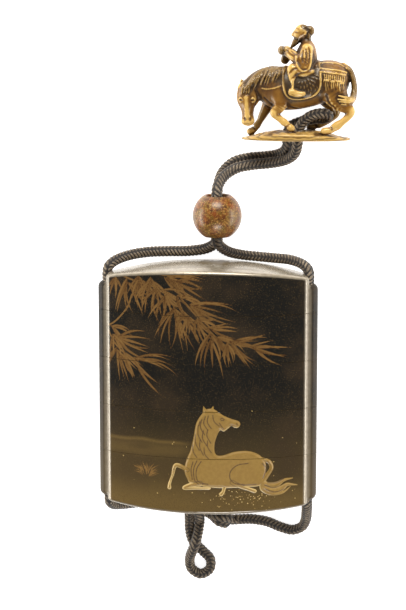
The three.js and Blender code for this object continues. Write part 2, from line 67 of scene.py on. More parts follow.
BODY_WIDTH = 62.2
BODY_THICK = 22.0
SIDE_THICK = 7.0
SIDE_ROUND = 2.2
BACK_FLAT = 8.0
CROWN_RISE, FOOT_RISE = 3.5, 2.2
END_DOME, END_ROUND = 0.8, 0.9
END_WALL, END_WALL_ROUND = 2.2, 0.6
LID_HEIGHT, CASE_HEIGHT = 14.5, 14.8
SEAM = 0.05  # the dressed pieces close up to this
WALL_SIDE, WALL_FACE = 4.2, 2.0
RISER_GAP, RISER_WALL, RISER_HEIGHT, RISER_ROOM = 0.3, 1.1, 5.0, 5.5
FLOOR = 1.5
CHANNEL, RUNNER, RUNNER_ROUND = 3.6, 5.6, 2.0
RELIEF = 0.4

SAGITTA = (BODY_THICK - SIDE_THICK) / 2
ARC = ((BODY_WIDTH / 2) ** 2 + SAGITTA**2) / 2 / SAGITTA  # radius of the front and back
ARC_CENTRE = ARC - BODY_THICK / 2
FLAT_DROP = BACK_FLAT**2 / 8 / ARC
MID = BODY_THICK / 2 - FLAT_DROP
SEAMS = [CROWN - LID_HEIGHT - i * CASE_HEIGHT for i in range(4)]
CHANNEL_X = RUNNER_OUT - RUNNER / 2
RUNNER_TOP = CROWN - CROWN_RISE - 2.2
RUNNER_FOOT = FOOT + FOOT_RISE + 1.2

CORD = 3.0
REST = CORD / 2 + 0.1
BEAD = 15.0
BEAD_HOLE = 6.8
BEAD_AT = np.array([2.6, 51.9, BEAD / 2 - 0.04])
STRAND = 1.6

TOGGLE_AT = np.array([26.4, 75.0, 7.7])
TOGGLE_LEAN = math.radians(-3)
TOGGLE_SCALE = 0.97
BASE_LENGTH, BASE_DEPTH, BASE_FOOT = 34.0, 15.6, 0.5
HOLE_A = (0.7, 1.5)
HOLE_B = (-2.6, -2.4)
CORD_HOLE = 4.3


def toggle_to_row(places):
    """From the toggle's own frame (u, v, w) to the shared one: scaled, leant about X and set in place."""
    c, s = math.cos(TOGGLE_LEAN), math.sin(TOGGLE_LEAN)
    turn = np.array([[1, 0, 0], [0, c, -s], [0, s, c]])
    return np.asarray(places) @ turn.T * TOGGLE_SCALE + TOGGLE_AT


# ---- The cord's route ----

FOOT_RIGHT = [
    (8.6, -46.2, REST), (13, -46, REST), (18, -46.7, REST), (22.4, -48.4, REST), (26, -49.2, REST),
    (29, -47.9, 2.1), (30.3, -45, 4.2), (30.7, -41.4, 7.6), (CHANNEL_X, -38.2, 10.2),
]
CROWN_RIGHT = [
    (CHANNEL_X - 0.3, 35.9, 10.4), (29, 37.3, 8.8), (25, 38.2, 5.8), (20.2, 38.2, 3.2), (14.8, 38.4, 1.9),
    (9.6, 38.9, 2), (5.8, 40.2, 4.2), (3.3, 42.6, 7.4),
]
TO_TOGGLE = [
    (2.9, 61.2, 8.2), (4.8, 64, 5.4), (8.5, 66.2, 4.1), (13.4, 67.2, 3.9), (18.6, 67.8, 4),
    (23.2, 69, 5.4), (26.2, 71.4, 7.8),
]
IN_TOGGLE = [
    (HOLE_A[0], -0.4, HOLE_A[1]), (HOLE_A[0], 2.6, HOLE_A[1]), (1.6, 5, 1.5), (3.4, 7.2, 1.5),
    (5.8, 8.5, 1.4), (8.4, 8.8, 0.9), (10.1, 8, -0.4), (8.8, 7.1, -1.8), (6.2, 7.1, -2.1), (3.4, 6.5, -2.1),
    (0.8, 5.7, -2.2), (-1.6, 4.5, HOLE_B[1]), (HOLE_B[0], 2.4, HOLE_B[1]), (HOLE_B[0], -0.4, HOLE_B[1]),
]
FROM_TOGGLE = [
    (23.2, 71.9, 4), (20.8, 70.3, 2.2), (16.6, 69.5, REST), (11.6, 69, REST), (7, 67.6, REST),
    (3.9, 64.7, 2.4), (2.8, 61.8, 4.7),
]
CROWN_LEFT = [
    (1.8, 42.8, 4.6), (-1.2, 40.8, 2.6), (-6.4, 39.8, REST), (-13, 39.6, REST), (-19.6, 39.4, 2.6),
    (-25.2, 38.8, 5.8), (-29, 37.6, 8.9), (-CHANNEL_X + 0.3, 36.1, 10.5),
]
FOOT_LEFT = [
    (-CHANNEL_X, -38.3, 10.4), (-30, -40.2, 8), (-27, -41.2, 4.4), (-22.4, -41.3, 2), (-16, -41.4, REST),
    (-9.6, -42.4, REST),
]
LOOP = [
    (-6.6, -46.2, REST), (-6.5, -50, REST), (-5.4, -53.8, REST), (-2.4, -56.9, REST), (0, -59.6, REST),
    (-0.2, -62.8, REST), (-3.1, -64.5, REST), (-6, -62.7, REST), (-6.5, -59.4, 2.3), (-5.6, -56.4, 4.3),
    (-4.5, -53.5, 5.1), (-3.7, -50, 3.4), (-3.3, -46.8, REST),
]


def main_route():
    """From the knot up the right channel, over the crown, through the bead and the toggle, and back."""
    def in_bead(z):
        ends = (BEAD_AT[1] - BEAD / 2, BEAD_AT[1] + BEAD / 2 + 0.4)
        return [(BEAD_AT[0], y, BEAD_AT[2] + z) for y in ends]

    def in_channel(side):
        stops = (RUNNER_FOOT - 0.6, RUNNER_FOOT + 2, RUNNER_TOP, RUNNER_TOP + 2.4)
        return [(side * CHANNEL_X, y, MID) for y in stops]

    through = [tuple(place) for place in toggle_to_row(IN_TOGGLE)]
    out = FOOT_RIGHT + in_channel(1) + CROWN_RIGHT + in_bead(STRAND) + TO_TOGGLE + through
    back = FROM_TOGGLE + in_bead(-STRAND)[::-1] + CROWN_LEFT + in_channel(-1)[::-1] + FOOT_LEFT
    return np.array(out + back, float)


def smooth_route(points, step):
    """A centripetal Catmull-Rom curve through the points, then points every step along it."""
    p = np.vstack([2 * points[0] - points[1], points, 2 * points[-1] - points[-2]])
    gap = np.sqrt(np.linalg.norm(np.diff(p, axis=0), axis=1))[:, None]
    p0, p1, p2, p3 = p[:-3], p[1:-2], p[2:-1], p[3:]
    g0, g1, g2 = gap[:-2], gap[1:-1], gap[2:]
    t1 = ((p1 - p0) / g0 - (p2 - p0) / (g0 + g1) + (p2 - p1) / g1) * g1
    t2 = ((p2 - p1) / g1 - (p3 - p1) / (g1 + g2) + (p3 - p2) / g2) * g1
    t = np.linspace(0, 1, 40, endpoint=False)[None, :, None]
    a, b, c, d = (q[:, None, :] for q in (p1, t1, 3 * (p2 - p1) - 2 * t1 - t2, 2 * (p1 - p2) + t1 + t2))
    line = np.vstack([(a + b * t + c * t**2 + d * t**3).reshape(-1, 3), points[-1]])
    along = np.concatenate([[0], np.cumsum(np.linalg.norm(np.diff(line, axis=0), axis=1))])
    stops = np.linspace(0, along[-1], max(2, round(along[-1] / step)) + 1)
    return np.column_stack([np.interp(stops, along, line[:, k]) for k in range(3)]), stops


def between(stations, steps):
    """Places on a Catmull-Rom curve through the stations, of which every value is smooth."""
    s = np.array(stations, float)
    if len(s) < 2:
        return s
    p = np.vstack([2 * s[0] - s[1], s, 2 * s[-1] - s[-2]])
    p0, p1, p2, p3 = (p[k : k + len(s) - 1, None, :] for k in range(4))
    t = np.linspace(0, 1, steps, endpoint=False)[None, :, None]
    even, odd = 2 * p0 - 5 * p1 + 4 * p2 - p3, 3 * p1 - p0 - 3 * p2 + p3
    line = (2 * p1 + (p2 - p0) * t + even * t**2 + odd * t**3) / 2
    return np.vstack([line.reshape(-1, s.shape[1]), s[-1]])


# ---- Meshes ----


def grid_triangles(rows, columns, wrap):
    """Two triangles for each cell of a grid, facing out where columns x rows does."""
    i, j = np.meshgrid(np.arange(rows - 1), np.arange(columns if wrap else columns - 1), indexing="ij")
    k = (j + 1) % columns
    here, above = i * columns, (i + 1) * columns
    a, b, c, d = (q.ravel() for q in (here + j, here + k, above + k, above + j))
    return np.vstack([np.column_stack([a, b, c]), np.column_stack([a, c, d])])


def weld(places, triangles, grain=1e-4):
    """Makes one vertex of those that coincide, and drops triangles that this leaves without area."""
    cells = np.round(places / grain).astype(np.int64)
    _, first, back = np.unique(cells, axis=0, return_index=True, return_inverse=True)
    kept = back.reshape(-1)[triangles]
    whole = (kept[:, 0] != kept[:, 1]) & (kept[:, 1] != kept[:, 2]) & (kept[:, 2] != kept[:, 0])
    return places[first], kept[whole]


def piece(name, places, faces, material, **attributes):
    """A smooth mesh object from places in millimetres, with its attributes."""
    mesh = bpy.data.meshes.new(name)
    mesh.from_pydata(np.asarray(places, float) * MM, [], faces)
    mesh.polygons.foreach_set("use_smooth", np.ones(len(mesh.polygons), bool))
    for key, values in attributes.items():
        store(mesh, key, values)
    mesh.materials.append(material)
    made = bpy.data.objects.new(name, mesh)
    bpy.context.scene.collection.objects.link(made)
    return made


def store(mesh, key, values):
    """Keeps one number for each vertex, under a name that the materials read."""
    layer = mesh.attributes.get(key) or mesh.attributes.new(key, "FLOAT", "POINT")
    layer.data.foreach_set("value", np.ascontiguousarray(values, np.float32))


def places_of(mesh):
    """The vertices' places, in millimetres."""
    flat = np.empty(len(mesh.vertices) * 3, np.float32)
    mesh.vertices.foreach_get("co", flat)
    return flat.reshape(-1, 3).astype(float) / MM


def smoothstep(low, high, value):
    """3 t^2 - 2 t^3, in which t runs from 0 at low to 1 at high. low may be the larger one."""
    t = np.clip((value - low) / (high - low), 0, 1)
    return t * t * (3 - 2 * t)


# ---- Materials ----


def add(tree, kind, links=None, **settings):
    """A shader node. links fills its inputs: a socket is linked, and anything else is its value."""
    node = tree.nodes.new(kind)
    for key, value in settings.items():
        setattr(node, key, value)
    return fill(tree, node, links or {})


def fill(tree, node, links):
    for key, value in links.items():
        if isinstance(value, bpy.types.NodeSocket):
            tree.links.new(value, node.inputs[key])
        else:
            node.inputs[key].default_value = value
    return node


def math_node(tree, operation, a, b=0.0):
    return add(tree, "ShaderNodeMath", {0: a, 1: b}, operation=operation).outputs[0]


def scaled(tree, value, factor, offset):
    """The value times the factor, plus the offset."""
    return add(tree, "ShaderNodeMath", {0: value, 1: factor, 2: offset}, operation="MULTIPLY_ADD").outputs[0]


def mix_colour(tree, factor, a, b):
    """From colour a to colour b. A colour mix node numbers these sockets 6 and 7, and its result 2."""
    return add(tree, "ShaderNodeMix", {0: factor, 6: a, 7: b}, data_type="RGBA").outputs[2]


def rise(tree, value, low, high, smooth=True):
    """0 below low, 1 above high, and a ramp between."""
    kind = "SMOOTHSTEP" if smooth else "LINEAR"
    links = {"Value": value, "From Min": low, "From Max": high}
    return add(tree, "ShaderNodeMapRange", links, interpolation_type=kind).outputs["Result"]


def attribute(tree, name):
    return add(tree, "ShaderNodeAttribute", attribute_name=name).outputs["Fac"]


def object_place(tree):
    return add(tree, "ShaderNodeTexCoord").outputs["Object"]


def noise(tree, place, scale, detail=3.0, roughness=0.5):
    links = {"Vector": place, "Scale": scale, "Detail": detail, "Roughness": roughness}
    return add(tree, "ShaderNodeTexNoise", links).outputs["Fac"]


def bumped(tree, shader, height, strength, distance=0.0002):
    """Lets the height tilt the shader's normal."""
    bump = add(tree, "ShaderNodeBump", {"Strength": strength, "Distance": distance, "Height": height})
    tree.links.new(bump.outputs["Normal"], shader.inputs["Normal"])


def group(name, inputs, outputs):
    """An empty node group with its named number sockets, and its input and output nodes."""
    made = bpy.data.node_groups.new(name, "ShaderNodeTree")
    for key, value in inputs.items():
        socket = made.interface.new_socket(key, in_out="INPUT", socket_type="NodeSocketFloat")
        socket.default_value = value
    for key in outputs:
        made.interface.new_socket(key, in_out="OUTPUT", socket_type="NodeSocketFloat")
    return made, made.nodes.new("NodeGroupInput"), made.nodes.new("NodeGroupOutput")


def material(name, **values):
    """A material with its Principled shader, on which the values that are the same all over are set."""
    made = bpy.data.materials.new(name)
    made.use_nodes = True
    shader = made.node_tree.nodes["Principled BSDF"]
    for key, value in values.items():
        shader.inputs[key.replace("_", " ")].default_value = value
    return made, made.node_tree, shader


def gold_dust():
    """Flecks of gold powder: grains of one size, of which as many show as Amount asks for."""
    made, given, out = group("gold dust", {"Grain": 3000.0, "Amount": 0.3}, ("Mask", "Tone"))
    links = {"Vector": object_place(made), "Scale": given.outputs["Grain"], "Randomness": 1.0}
    cells = add(made, "ShaderNodeTexVoronoi", links, feature="F1")
    parts = add(made, "ShaderNodeSeparateColor", {"Color": cells.outputs["Color"]})
    chosen = math_node(made, "LESS_THAN", parts.outputs["Red"], given.outputs["Amount"])
    grain = math_node(made, "LESS_THAN", cells.outputs["Distance"], 0.42)
    made.links.new(math_node(made, "MULTIPLY", chosen, grain), out.inputs["Mask"])
    made.links.new(parts.outputs["Green"], out.inputs["Tone"])
    return made


DUST = gold_dust()


def dust(tree, grain, amount):
    """The mask of the flecks, and a tone for each."""
    node = add(tree, "ShaderNodeGroup", node_tree=DUST)
    fill(tree, node, {"Grain": grain, "Amount": amount})
    return node.outputs["Mask"], node.outputs["Tone"]


def colour(red, green, blue):
    """A screen colour, 0 to 255, as the shader's linear one."""
    parts = [c / 255 for c in (red, green, blue)]
    return tuple(c / 12.92 if c <= 0.04045 else ((c + 0.055) / 1.055) ** 2.4 for c in parts) + (1.0,)


def lacquer():
    """Polished dark lacquer with gold: powder in the ground, mist, leaves, and the raised horse."""
    made, tree, shader = material("lacquer", Coat_Roughness=0.08)
    place = object_place(tree)
    cloud = noise(tree, place, 70.0, 4.0)
    fine = noise(tree, place, 900.0, 3.0)
    depth = rise(tree, attribute(tree, "height"), -0.038, 0.03, smooth=False)
    ground = mix_colour(tree, rise(tree, depth, 0.05, 0.6), colour(72, 58, 33), colour(22, 20, 16))
    warm = math_node(tree, "MULTIPLY", rise(tree, cloud, 0.4, 0.66), 0.6)
    ground = mix_colour(tree, warm, ground, colour(54, 42, 28))
    mist = attribute(tree, "mist")
    ground = mix_colour(tree, math_node(tree, "MULTIPLY", mist, 0.7), ground, colour(108, 86, 46))
    mask, tone = dust(tree, 5200.0, scaled(tree, mist, 0.5, 0.16))
    gold = mix_colour(tree, tone, colour(58, 46, 28), colour(98, 78, 44))
    skin = mix_colour(tree, math_node(tree, "MULTIPLY", mask, 0.8), ground, gold)
    flakes, flake_tone = dust(tree, 2300.0, attribute(tree, "flakes"))
    bright = mix_colour(tree, flake_tone, colour(130, 100, 50), colour(206, 176, 110))
    skin = mix_colour(tree, flakes, skin, bright)
    leaf = rise(tree, attribute(tree, "leaf"), -0.05, 0.07)
    leaf_tone = rise(tree, attribute(tree, "tone"), 0.0, 1.0, smooth=False)
    leaf_gold = mix_colour(tree, leaf_tone, colour(72, 45, 19), colour(134, 100, 54))
    leaf_gold = mix_colour(tree, math_node(tree, "MULTIPLY", mask, 0.3), leaf_gold, colour(132, 98, 54))
    skin = mix_colour(tree, math_node(tree, "MULTIPLY", leaf, 0.92), skin, leaf_gold)
    horse = rise(tree, attribute(tree, "horse"), -0.05, 0.06)
    horse_gold = mix_colour(tree, rise(tree, fine, 0.35, 0.65), colour(133, 101, 36), colour(140, 108, 42))
    line = rise(tree, attribute(tree, "line"), 0.0, 1.0)
    horse_gold = mix_colour(tree, line, horse_gold, colour(74, 47, 14))
    # Painted highlight: the lower edges of the raised horse are a pale gold.
    light = rise(tree, attribute(tree, "light"), 0.0, 1.0)
    horse_gold = mix_colour(tree, light, horse_gold, colour(196, 166, 104))
    skin = mix_colour(tree, horse, skin, horse_gold)
    # The pale half-metallic rim colour is partly the crown's pale metal and partly painted highlight on the
    # rounded edges of crown, foot and sides.
    rim = attribute(tree, "rim")
    rim_metal_and_highlight = mix_colour(tree, rise(tree, fine, 0.3, 0.7), colour(154, 142, 122), colour(174, 161, 139))
    skin = mix_colour(tree, rim, skin, rim_metal_and_highlight)
    tree.links.new(skin, shader.inputs["Base Color"])
    plain = attribute(tree, "plain")
    tree.links.new(scaled(tree, plain, -0.2, 0.2), shader.inputs["Coat Weight"])
    tree.links.new(scaled(tree, plain, -0.3, 0.5), shader.inputs["Specular IOR Level"])
    metal_rim, metal_horse = scaled(tree, rim, 0.5, 0.0), scaled(tree, horse, 0.1, 0.0)
    tree.links.new(math_node(tree, "MAXIMUM", metal_rim, metal_horse), shader.inputs["Metallic"])
    rough = scaled(tree, rim, 0.12, scaled(tree, horse, 0.4, 0.16))
    tree.links.new(scaled(tree, plain, 0.3, rough), shader.inputs["Roughness"])
    bumped(tree, shader, fine, 0.08)
    return made


def bead_lacquer():
    """Mottled gold, red-brown and green-brown lacquer, rubbed down smooth."""
    warm = (1.0, 0.84, 0.6, 1.0)
    made, tree, shader = material(
        "bead lacquer", Roughness=0.36, Coat_Weight=0.2, Coat_Roughness=0.2, Specular_Tint=warm
    )
    place = object_place(tree)
    broad = noise(tree, place, 330.0, 2.0)
    large = noise(tree, place, 620.0, 5.0, 0.62)
    small = noise(tree, place, 1700.0, 4.0, 0.6)
    warm = mix_colour(tree, rise(tree, broad, 0.42, 0.6), colour(104, 74, 26), colour(122, 62, 22))
    skin = mix_colour(tree, rise(tree, large, 0.56, 0.4), warm, colour(84, 42, 18))
    skin = mix_colour(tree, rise(tree, small, 0.52, 0.66), skin, colour(158, 116, 56))
    skin = mix_colour(tree, rise(tree, small, 0.44, 0.34), skin, colour(52, 30, 12))
    mask, tone = dust(tree, 3000.0, 0.16)
    skin = mix_colour(tree, mask, skin, mix_colour(tree, tone, colour(120, 110, 50), colour(176, 138, 76)))
    tree.links.new(skin, shader.inputs["Base Color"])
    bumped(tree, shader, small, 0.06)
    return made


def carving():
    """Stained, polished and rubbed: dark in the cuts, with painted shade under and between the forms, and
    golden on what stands out, from wear and painted highlight.
    """
    warm = (1.0, 0.86, 0.62, 1.0)
    made, tree, shader = material(
        "carving", Coat_Weight=0.15, Coat_Roughness=0.14, Coat_Tint=warm, Specular_Tint=warm
    )
    place = object_place(tree)
    cloud = noise(tree, place, 240.0, 4.0)
    fine = noise(tree, place, 1900.0, 3.0)
    flat = mix_colour(tree, rise(tree, cloud, 0.35, 0.68), colour(142, 100, 42), colour(106, 68, 26))
    wear_and_highlight_amount = attribute(tree, "worn")
    # Lighter on what stands out: the wear of handling, and painted highlight.
    worn = mix_colour(tree, rise(tree, wear_and_highlight_amount, 0.0, 1.0), flat, colour(202, 164, 92))
    # Dark in the fine cuts, which are stained, and painted shade under and between the forms.
    cut = rise(tree, attribute(tree, "cut"), 0.0, 0.9, smooth=False)
    stain_and_shade = mix_colour(tree, rise(tree, fine, 0.4, 0.62), colour(42, 23, 8), colour(64, 37, 14))
    skin = mix_colour(tree, cut, worn, stain_and_shade)
    # The darkest stain on the hair, the mane, the tail and the saddle cloth, and painted shade on the far
    # legs.
    dark = attribute(tree, "dark")
    skin = mix_colour(tree, math_node(tree, "MULTIPLY", dark, 0.9), skin, colour(38, 24, 12))
    # In the dark parts too, what stands out is lighter: wear and painted highlight.
    edge = math_node(tree, "MULTIPLY", rise(tree, wear_and_highlight_amount, 0.2, 1.0), scaled(tree, dark, 0.3, 0.0))
    skin = mix_colour(tree, edge, skin, colour(150, 114, 66))
    tree.links.new(skin, shader.inputs["Base Color"])
    tree.links.new(scaled(tree, cut, 0.3, 0.24), shader.inputs["Roughness"])
    bumped(tree, shader, fine, 0.15)
    return made


def silk():
    """Braided silk, dark brown, with grey threads rubbed pale on the crowns of its stitches, and painted
    shade darkening the grooves between them.
    """
    made, tree, shader = material("silk", Roughness=0.75, Sheen_Weight=0.25, Sheen_Roughness=0.4)
    place = object_place(tree)
    crown = attribute(tree, "crown")
    thread = noise(tree, place, 2600.0, 3.0, 0.7)
    faded = noise(tree, place, 160.0, 2.0)
    light = mix_colour(tree, rise(tree, faded, 0.4, 0.62), colour(134, 117, 94), colour(168, 149, 122))
    skin = mix_colour(tree, rise(tree, thread, 0.35, 0.68), colour(74, 62, 49), light)
    # Darker where a place stands low on its stitch: painted shade in the grooves of the braid.
    skin = mix_colour(tree, rise(tree, crown, 0.86, 0.4), skin, colour(32, 26, 21))
    tree.links.new(skin, shader.inputs["Base Color"])
    bumped(tree, shader, thread, 0.35, 0.0003)
    return made


LACQUER = lacquer()
BEAD_LACQUER = bead_lacquer()
CARVING = carving()
SILK = silk()


def finish_piece(made, node):
    """Says which body the piece rides, and hides the solid that it stands for."""
    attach(made, "root")
    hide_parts(node)
    return made


# ---- Camera, surface and light ----


def camera():
    """Stands 0.7 m up and a little beyond the toggle, and looks down on the picture."""
    pitch, yaw, roll = -0.2045, 0.0836, 0.0166
    turn = Matrix.Rotation(pitch, 3, "X") @ Matrix.Rotation(yaw, 3, "Y") @ Matrix.Rotation(roll, 3, "Z")
    data = bpy.data.cameras.new("camera")
    data.sensor_fit = "VERTICAL"
    data.sensor_height = 36
    data.lens = 136.1
    made = bpy.data.objects.new("camera", data)
    made.matrix_world = Matrix.Translation(Vector((57.5, 167.6, 700)) * MM) @ turn.to_4x4()
    bpy.context.scene.collection.objects.link(made)
    bpy.context.scene.camera = made


def area_light(name, place, aim, size, watts):
    """A soft rectangular light at a place in metres, turned to what it is aimed at."""
    data = bpy.data.lights.new(name, "AREA")
    data.shape = "RECTANGLE"
    data.size, data.size_y = size
    data.energy = watts
    made = bpy.data.objects.new(name, data)
    made.location = place
    made.rotation_euler = (Vector(aim) - Vector(place)).to_track_quat("-Z", "Y").to_euler()
    bpy.context.scene.collection.objects.link(made)


def studio():
    """A white surface that is lit from within, low soft lights at both sides, and one beyond and one
    before the object. Nothing bright stands overhead, so that the lacquer mirrors the dark there."""
    pale, white = (0.8, 0.8, 0.8, 1), (1, 1, 1, 1)
    made, _, _ = material(
        "floor", Base_Color=pale, Roughness=0.9, Emission_Color=white, Emission_Strength=0.9
    )
    half, below = 3000, -0.02
    square = [(-half, -half, below), (half, -half, below), (half, half, below), (-half, half, below)]
    piece("floor", square, [(0, 1, 2, 3)], made)
    world = bpy.data.worlds.new("room")
    world.use_nodes = True
    fill(world.node_tree, world.node_tree.nodes["Background"], {"Color": white, "Strength": 0.12})
    bpy.context.scene.world = world
    bpy.context.scene.view_settings.view_transform = "Standard"
    middle = (0, 0.03, 0.01)
    area_light("left", (-0.8, 0.0, 0.16), middle, (0.9, 0.22), 6)
    area_light("right", (0.8, 0.0, 0.16), middle, (0.9, 0.22), 5)
    area_light("beyond", (0.0, 0.95, 0.5), (0, 0.05, 0.01), (0.7, 0.4), 14)
    area_light("before", (0.1, -0.75, 0.75), middle, (0.5, 0.3), 7)


camera()
studio()

# ---- Cord ----


def frames_along(line):
    """Tangents, and two sides that turn as little as they can from point to point."""
    tangents = np.gradient(line, axis=0)
    tangents /= np.linalg.norm(tangents, axis=1)[:, None]
    side = np.cross(tangents[0], (0, 0, 1.0))
    sides = np.empty_like(line)
    for i, tangent in enumerate(tangents):
        side = side - tangent * (side @ tangent)
        side /= np.linalg.norm(side)
        sides[i] = side
    return tangents, sides, np.cross(tangents, sides)


AROUND = 30
STITCH = 1.15  # length of one stitch along the cord
ROUTE_STEP = 0.21


def braid(line, along):
    """A round braid along a line. Its stitches stand in four columns, slanting one way and the other in
    turn: each stitch is a half wave along the cord, shifted by its slant, and falls off to its column's
    edges. The surface flattens it from below. Gives its places, faces and how high each place stands on
    its stitch."""
    tangents, sides, ups = frames_along(line)
    angle = np.linspace(0, 2 * np.pi, AROUND, endpoint=False)
    column = 4 * angle / (2 * np.pi)
    across = column % 1 - 0.5
    slant = np.where(np.floor(column) % 2 == 0, 1.0, -1.0)
    phase = along[:, None] / STITCH + (slant * across)[None, :] * 1.3
    stitch = np.abs(np.sin(np.pi * phase)) ** 0.8
    edge = np.sqrt(np.clip(1 - np.abs(2 * across) ** 2, 0, 1))[None, :]
    crown = stitch * (0.15 + 0.85 * edge)
    radius = CORD / 2 * (0.9 + 0.24 * crown)
    ring = sides[:, None, :] * np.cos(angle)[None, :, None] + ups[:, None, :] * np.sin(angle)[None, :, None]
    places = (line[:, None, :] + ring * radius[:, :, None]).reshape(-1, 3)
    faces = grid_triangles(len(line), AROUND, True)
    first, last = len(places), len(places) + 1
    places = np.vstack([places, line[0] - tangents[0] * 0.3, line[-1] + tangents[-1] * 0.3])
    j = np.arange(AROUND)
    k = (j + 1) % AROUND
    foot = (len(line) - 1) * AROUND
    start = np.column_stack([k, j, np.full(AROUND, first)])
    end = np.column_stack([foot + j, foot + k, np.full(AROUND, last)])
    places[:, 2] = np.maximum(places[:, 2], 0)
    return places, np.vstack([faces, start, end]), np.concatenate([crown.ravel(), [0.5, 0.5]])


KNOT_WRAP = [
    (-9.9, -40.5, REST), (-6.4, -41.7, 1.7), (-2.6, -43.3, 1.6), (0.6, -44.7, 2.4), (3, -46.4, 3.6),
    (4.9, -47.2, 2.4), (4.3, -46.2, 1.4), (2.4, -45, 1.5), (1.6, -45.1, 3), (3.2, -45, 4), (5.4, -45.4, 3.4),
    (6.8, -46.2, 2), (9, -46.2, REST),
]
KNOT_HITCH = [
    (-6.5, -46.6, REST), (-6.5, -44.2, 2.3), (-5.2, -42.6, 3.4), (-3.7, -43.8, 3.2), (-3.4, -47, REST),
]


def knot():
    """Two short turns of the same braid: one wraps the strands, and one hitches the loop."""
    routes = [np.array(route, float) for route in (KNOT_WRAP, KNOT_HITCH)]
    wrap, hitch = [braid(*smooth_route(route, ROUTE_STEP)) for route in routes]
    places = np.vstack([wrap[0], hitch[0]])
    faces = np.vstack([wrap[1], hitch[1] + len(wrap[0])])
    crown = np.concatenate([wrap[2], hitch[2]])
    return finish_piece(piece("tied_knot", places, faces, SILK, crown=crown), "cord_knot")


def cords():
    """The long cord with its knot, and the loop."""
    line, along = smooth_route(main_route(), ROUTE_STEP)
    places, faces, crown = braid(line, along)
    cord = finish_piece(piece("silk_cord", places, faces, SILK, crown=crown), "cord")
    knot()
    line, along = smooth_route(np.array(LOOP, float), ROUTE_STEP)
    places, faces, crown = braid(line, along)
    loop = finish_piece(piece("silk_loop", places, faces, SILK, crown=crown), "cord_loop")


cords()

# ---- The case ----

FRONT_POINTS = 301
SIDE_POINTS = 25
SIDE_SPREAD = 1.363  # the side's points stand as evenly as their angles on the runner do


def outline(side=0.0, inset=0.0, rounding=SIDE_ROUND):
    """Once round the lens-shaped section, from the left of the front over the right side and the back: arcs
    in front and behind, rounded corners, and upright sides. side and inset draw it in. Gives x and z."""
    radius = ARC - inset
    corner_x = BODY_WIDTH / 2 - side - rounding
    corner_z = math.sqrt((radius - rounding) ** 2 - corner_x**2) - ARC_CENTRE
    reach = math.atan2(corner_x, corner_z + ARC_CENTRE)
    a = np.linspace(-reach, reach, FRONT_POINTS)
    b = np.linspace(reach, math.pi / 2 - 0.163, 7)[1:]
    c = np.linspace(1, -1, SIDE_POINTS + 2)[1:-1]
    half = corner_z + rounding * math.cos(b[-1])
    z_side = half * np.sin(c * SIDE_SPREAD) / math.sin(SIDE_SPREAD)
    beyond = np.clip(np.abs(z_side) - corner_z, 0, rounding)
    bend_x, bend_z = corner_x + rounding * np.sin(b), corner_z + rounding * np.cos(b)
    right_x = [bend_x, corner_x + np.sqrt(rounding**2 - beyond**2), bend_x[::-1]]
    right_z = [bend_z, z_side, -bend_z[::-1]]
    front_x, front_z = radius * np.sin(a), radius * np.cos(a) - ARC_CENTRE
    right_x, right_z = np.concatenate(right_x), np.concatenate(right_z)
    x = np.concatenate([front_x, right_x, front_x[::-1], -right_x[::-1]])
    z = np.concatenate([front_z, right_z, -front_z[::-1], right_z[::-1]])
    return x, z


def outside(inset=0.0):
    """The outer section, with the flat that it rests on."""
    x, z = outline()
    x = x - np.sign(x) * np.minimum(inset, np.abs(x))
    z = z - np.sign(z) * np.minimum(inset, np.abs(z))
    return x, np.maximum(z, -MID)


def with_runner(x, y, z, inset=0.0):
    """Lets the half-round runner stand out of the sides between its two rounded ends."""
    below = np.clip((RUNNER_FOOT + RUNNER_ROUND - y) / RUNNER_ROUND, 0, 1)
    above = np.clip((y - RUNNER_TOP + RUNNER_ROUND) / RUNNER_ROUND, 0, 1)
    end = np.maximum(below, above)
    radius = RUNNER / 2 - inset - RUNNER_ROUND * (1 - np.sqrt(1 - end**2))
    radius = np.where((y < RUNNER_FOOT) | (y > RUNNER_TOP), 0, radius)
    bulge = CHANNEL_X + np.sqrt(np.clip(radius**2 - z**2, 0, None))
    inside = (np.abs(x) > BODY_WIDTH / 2 - SIDE_ROUND) & (radius**2 > z**2)
    return np.where(inside, np.sign(x) * np.maximum(np.abs(x), bulge), x)


def crown_height(x, z):
    return CROWN - CROWN_RISE * (x / (BODY_WIDTH / 2)) ** 2 - END_DOME * (z / (BODY_THICK / 2)) ** 2


def foot_height(x, z):
    return FOOT + FOOT_RISE * (x / (BODY_WIDTH / 2)) ** 2 + END_DOME * (z / (BODY_THICK / 2)) ** 2


def ring(x, y, z):
    return np.column_stack([x, np.broadcast_to(y, x.shape), z])


def arched_end(x, z, height, offset, way, rounding, shares):
    """From the wall round the rim and over the arched end to the ridge of its middle plane."""
    rings = []
    for turn in np.radians((0, 22, 45, 68, 90)):
        inset = rounding * (1 - math.cos(turn))
        dx = x * (1 - inset / (BODY_WIDTH / 2))
        dz = z - np.sign(z) * np.minimum(inset, np.abs(z))
        rings.append(ring(dx, height(dx, dz) + offset - way * rounding * (1 - math.sin(turn)), dz))
    for share in shares:
        rings.append(ring(dx, height(dx, dz * share) + offset, dz * share))
    return rings


def outer_wall(bottom, top, step, soft_low, soft_high):
    """The rings of the outer wall, between two heights or arched ends. Where an end is a joint, its edge is
    rounded by a hair."""
    x, z = outside()
    low, high = np.broadcast_to(bottom, x.shape), np.broadcast_to(top, x.shape)
    rows = max(2, round(float((high - low).max()) / step))
    rings = []
    hair = 0.05
    for share in np.linspace(0, 1, rows + 1):
        y = low + (high - low) * share
        rings.append(ring(with_runner(x, y, z), y, z))
    for soft, end, way in ((soft_low, 0, -1), (soft_high, -1, 1)):
        if not soft:
            continue
        ix, iz = outside(hair)
        y = rings[end][:, 1]
        edge = ring(with_runner(ix, y, iz, hair), y, iz)
        rings[end] = rings[end] - np.array([0, way * hair, 0])
        if way < 0:
            rings.insert(0, edge)
        else:
            rings.append(edge)
    return rings


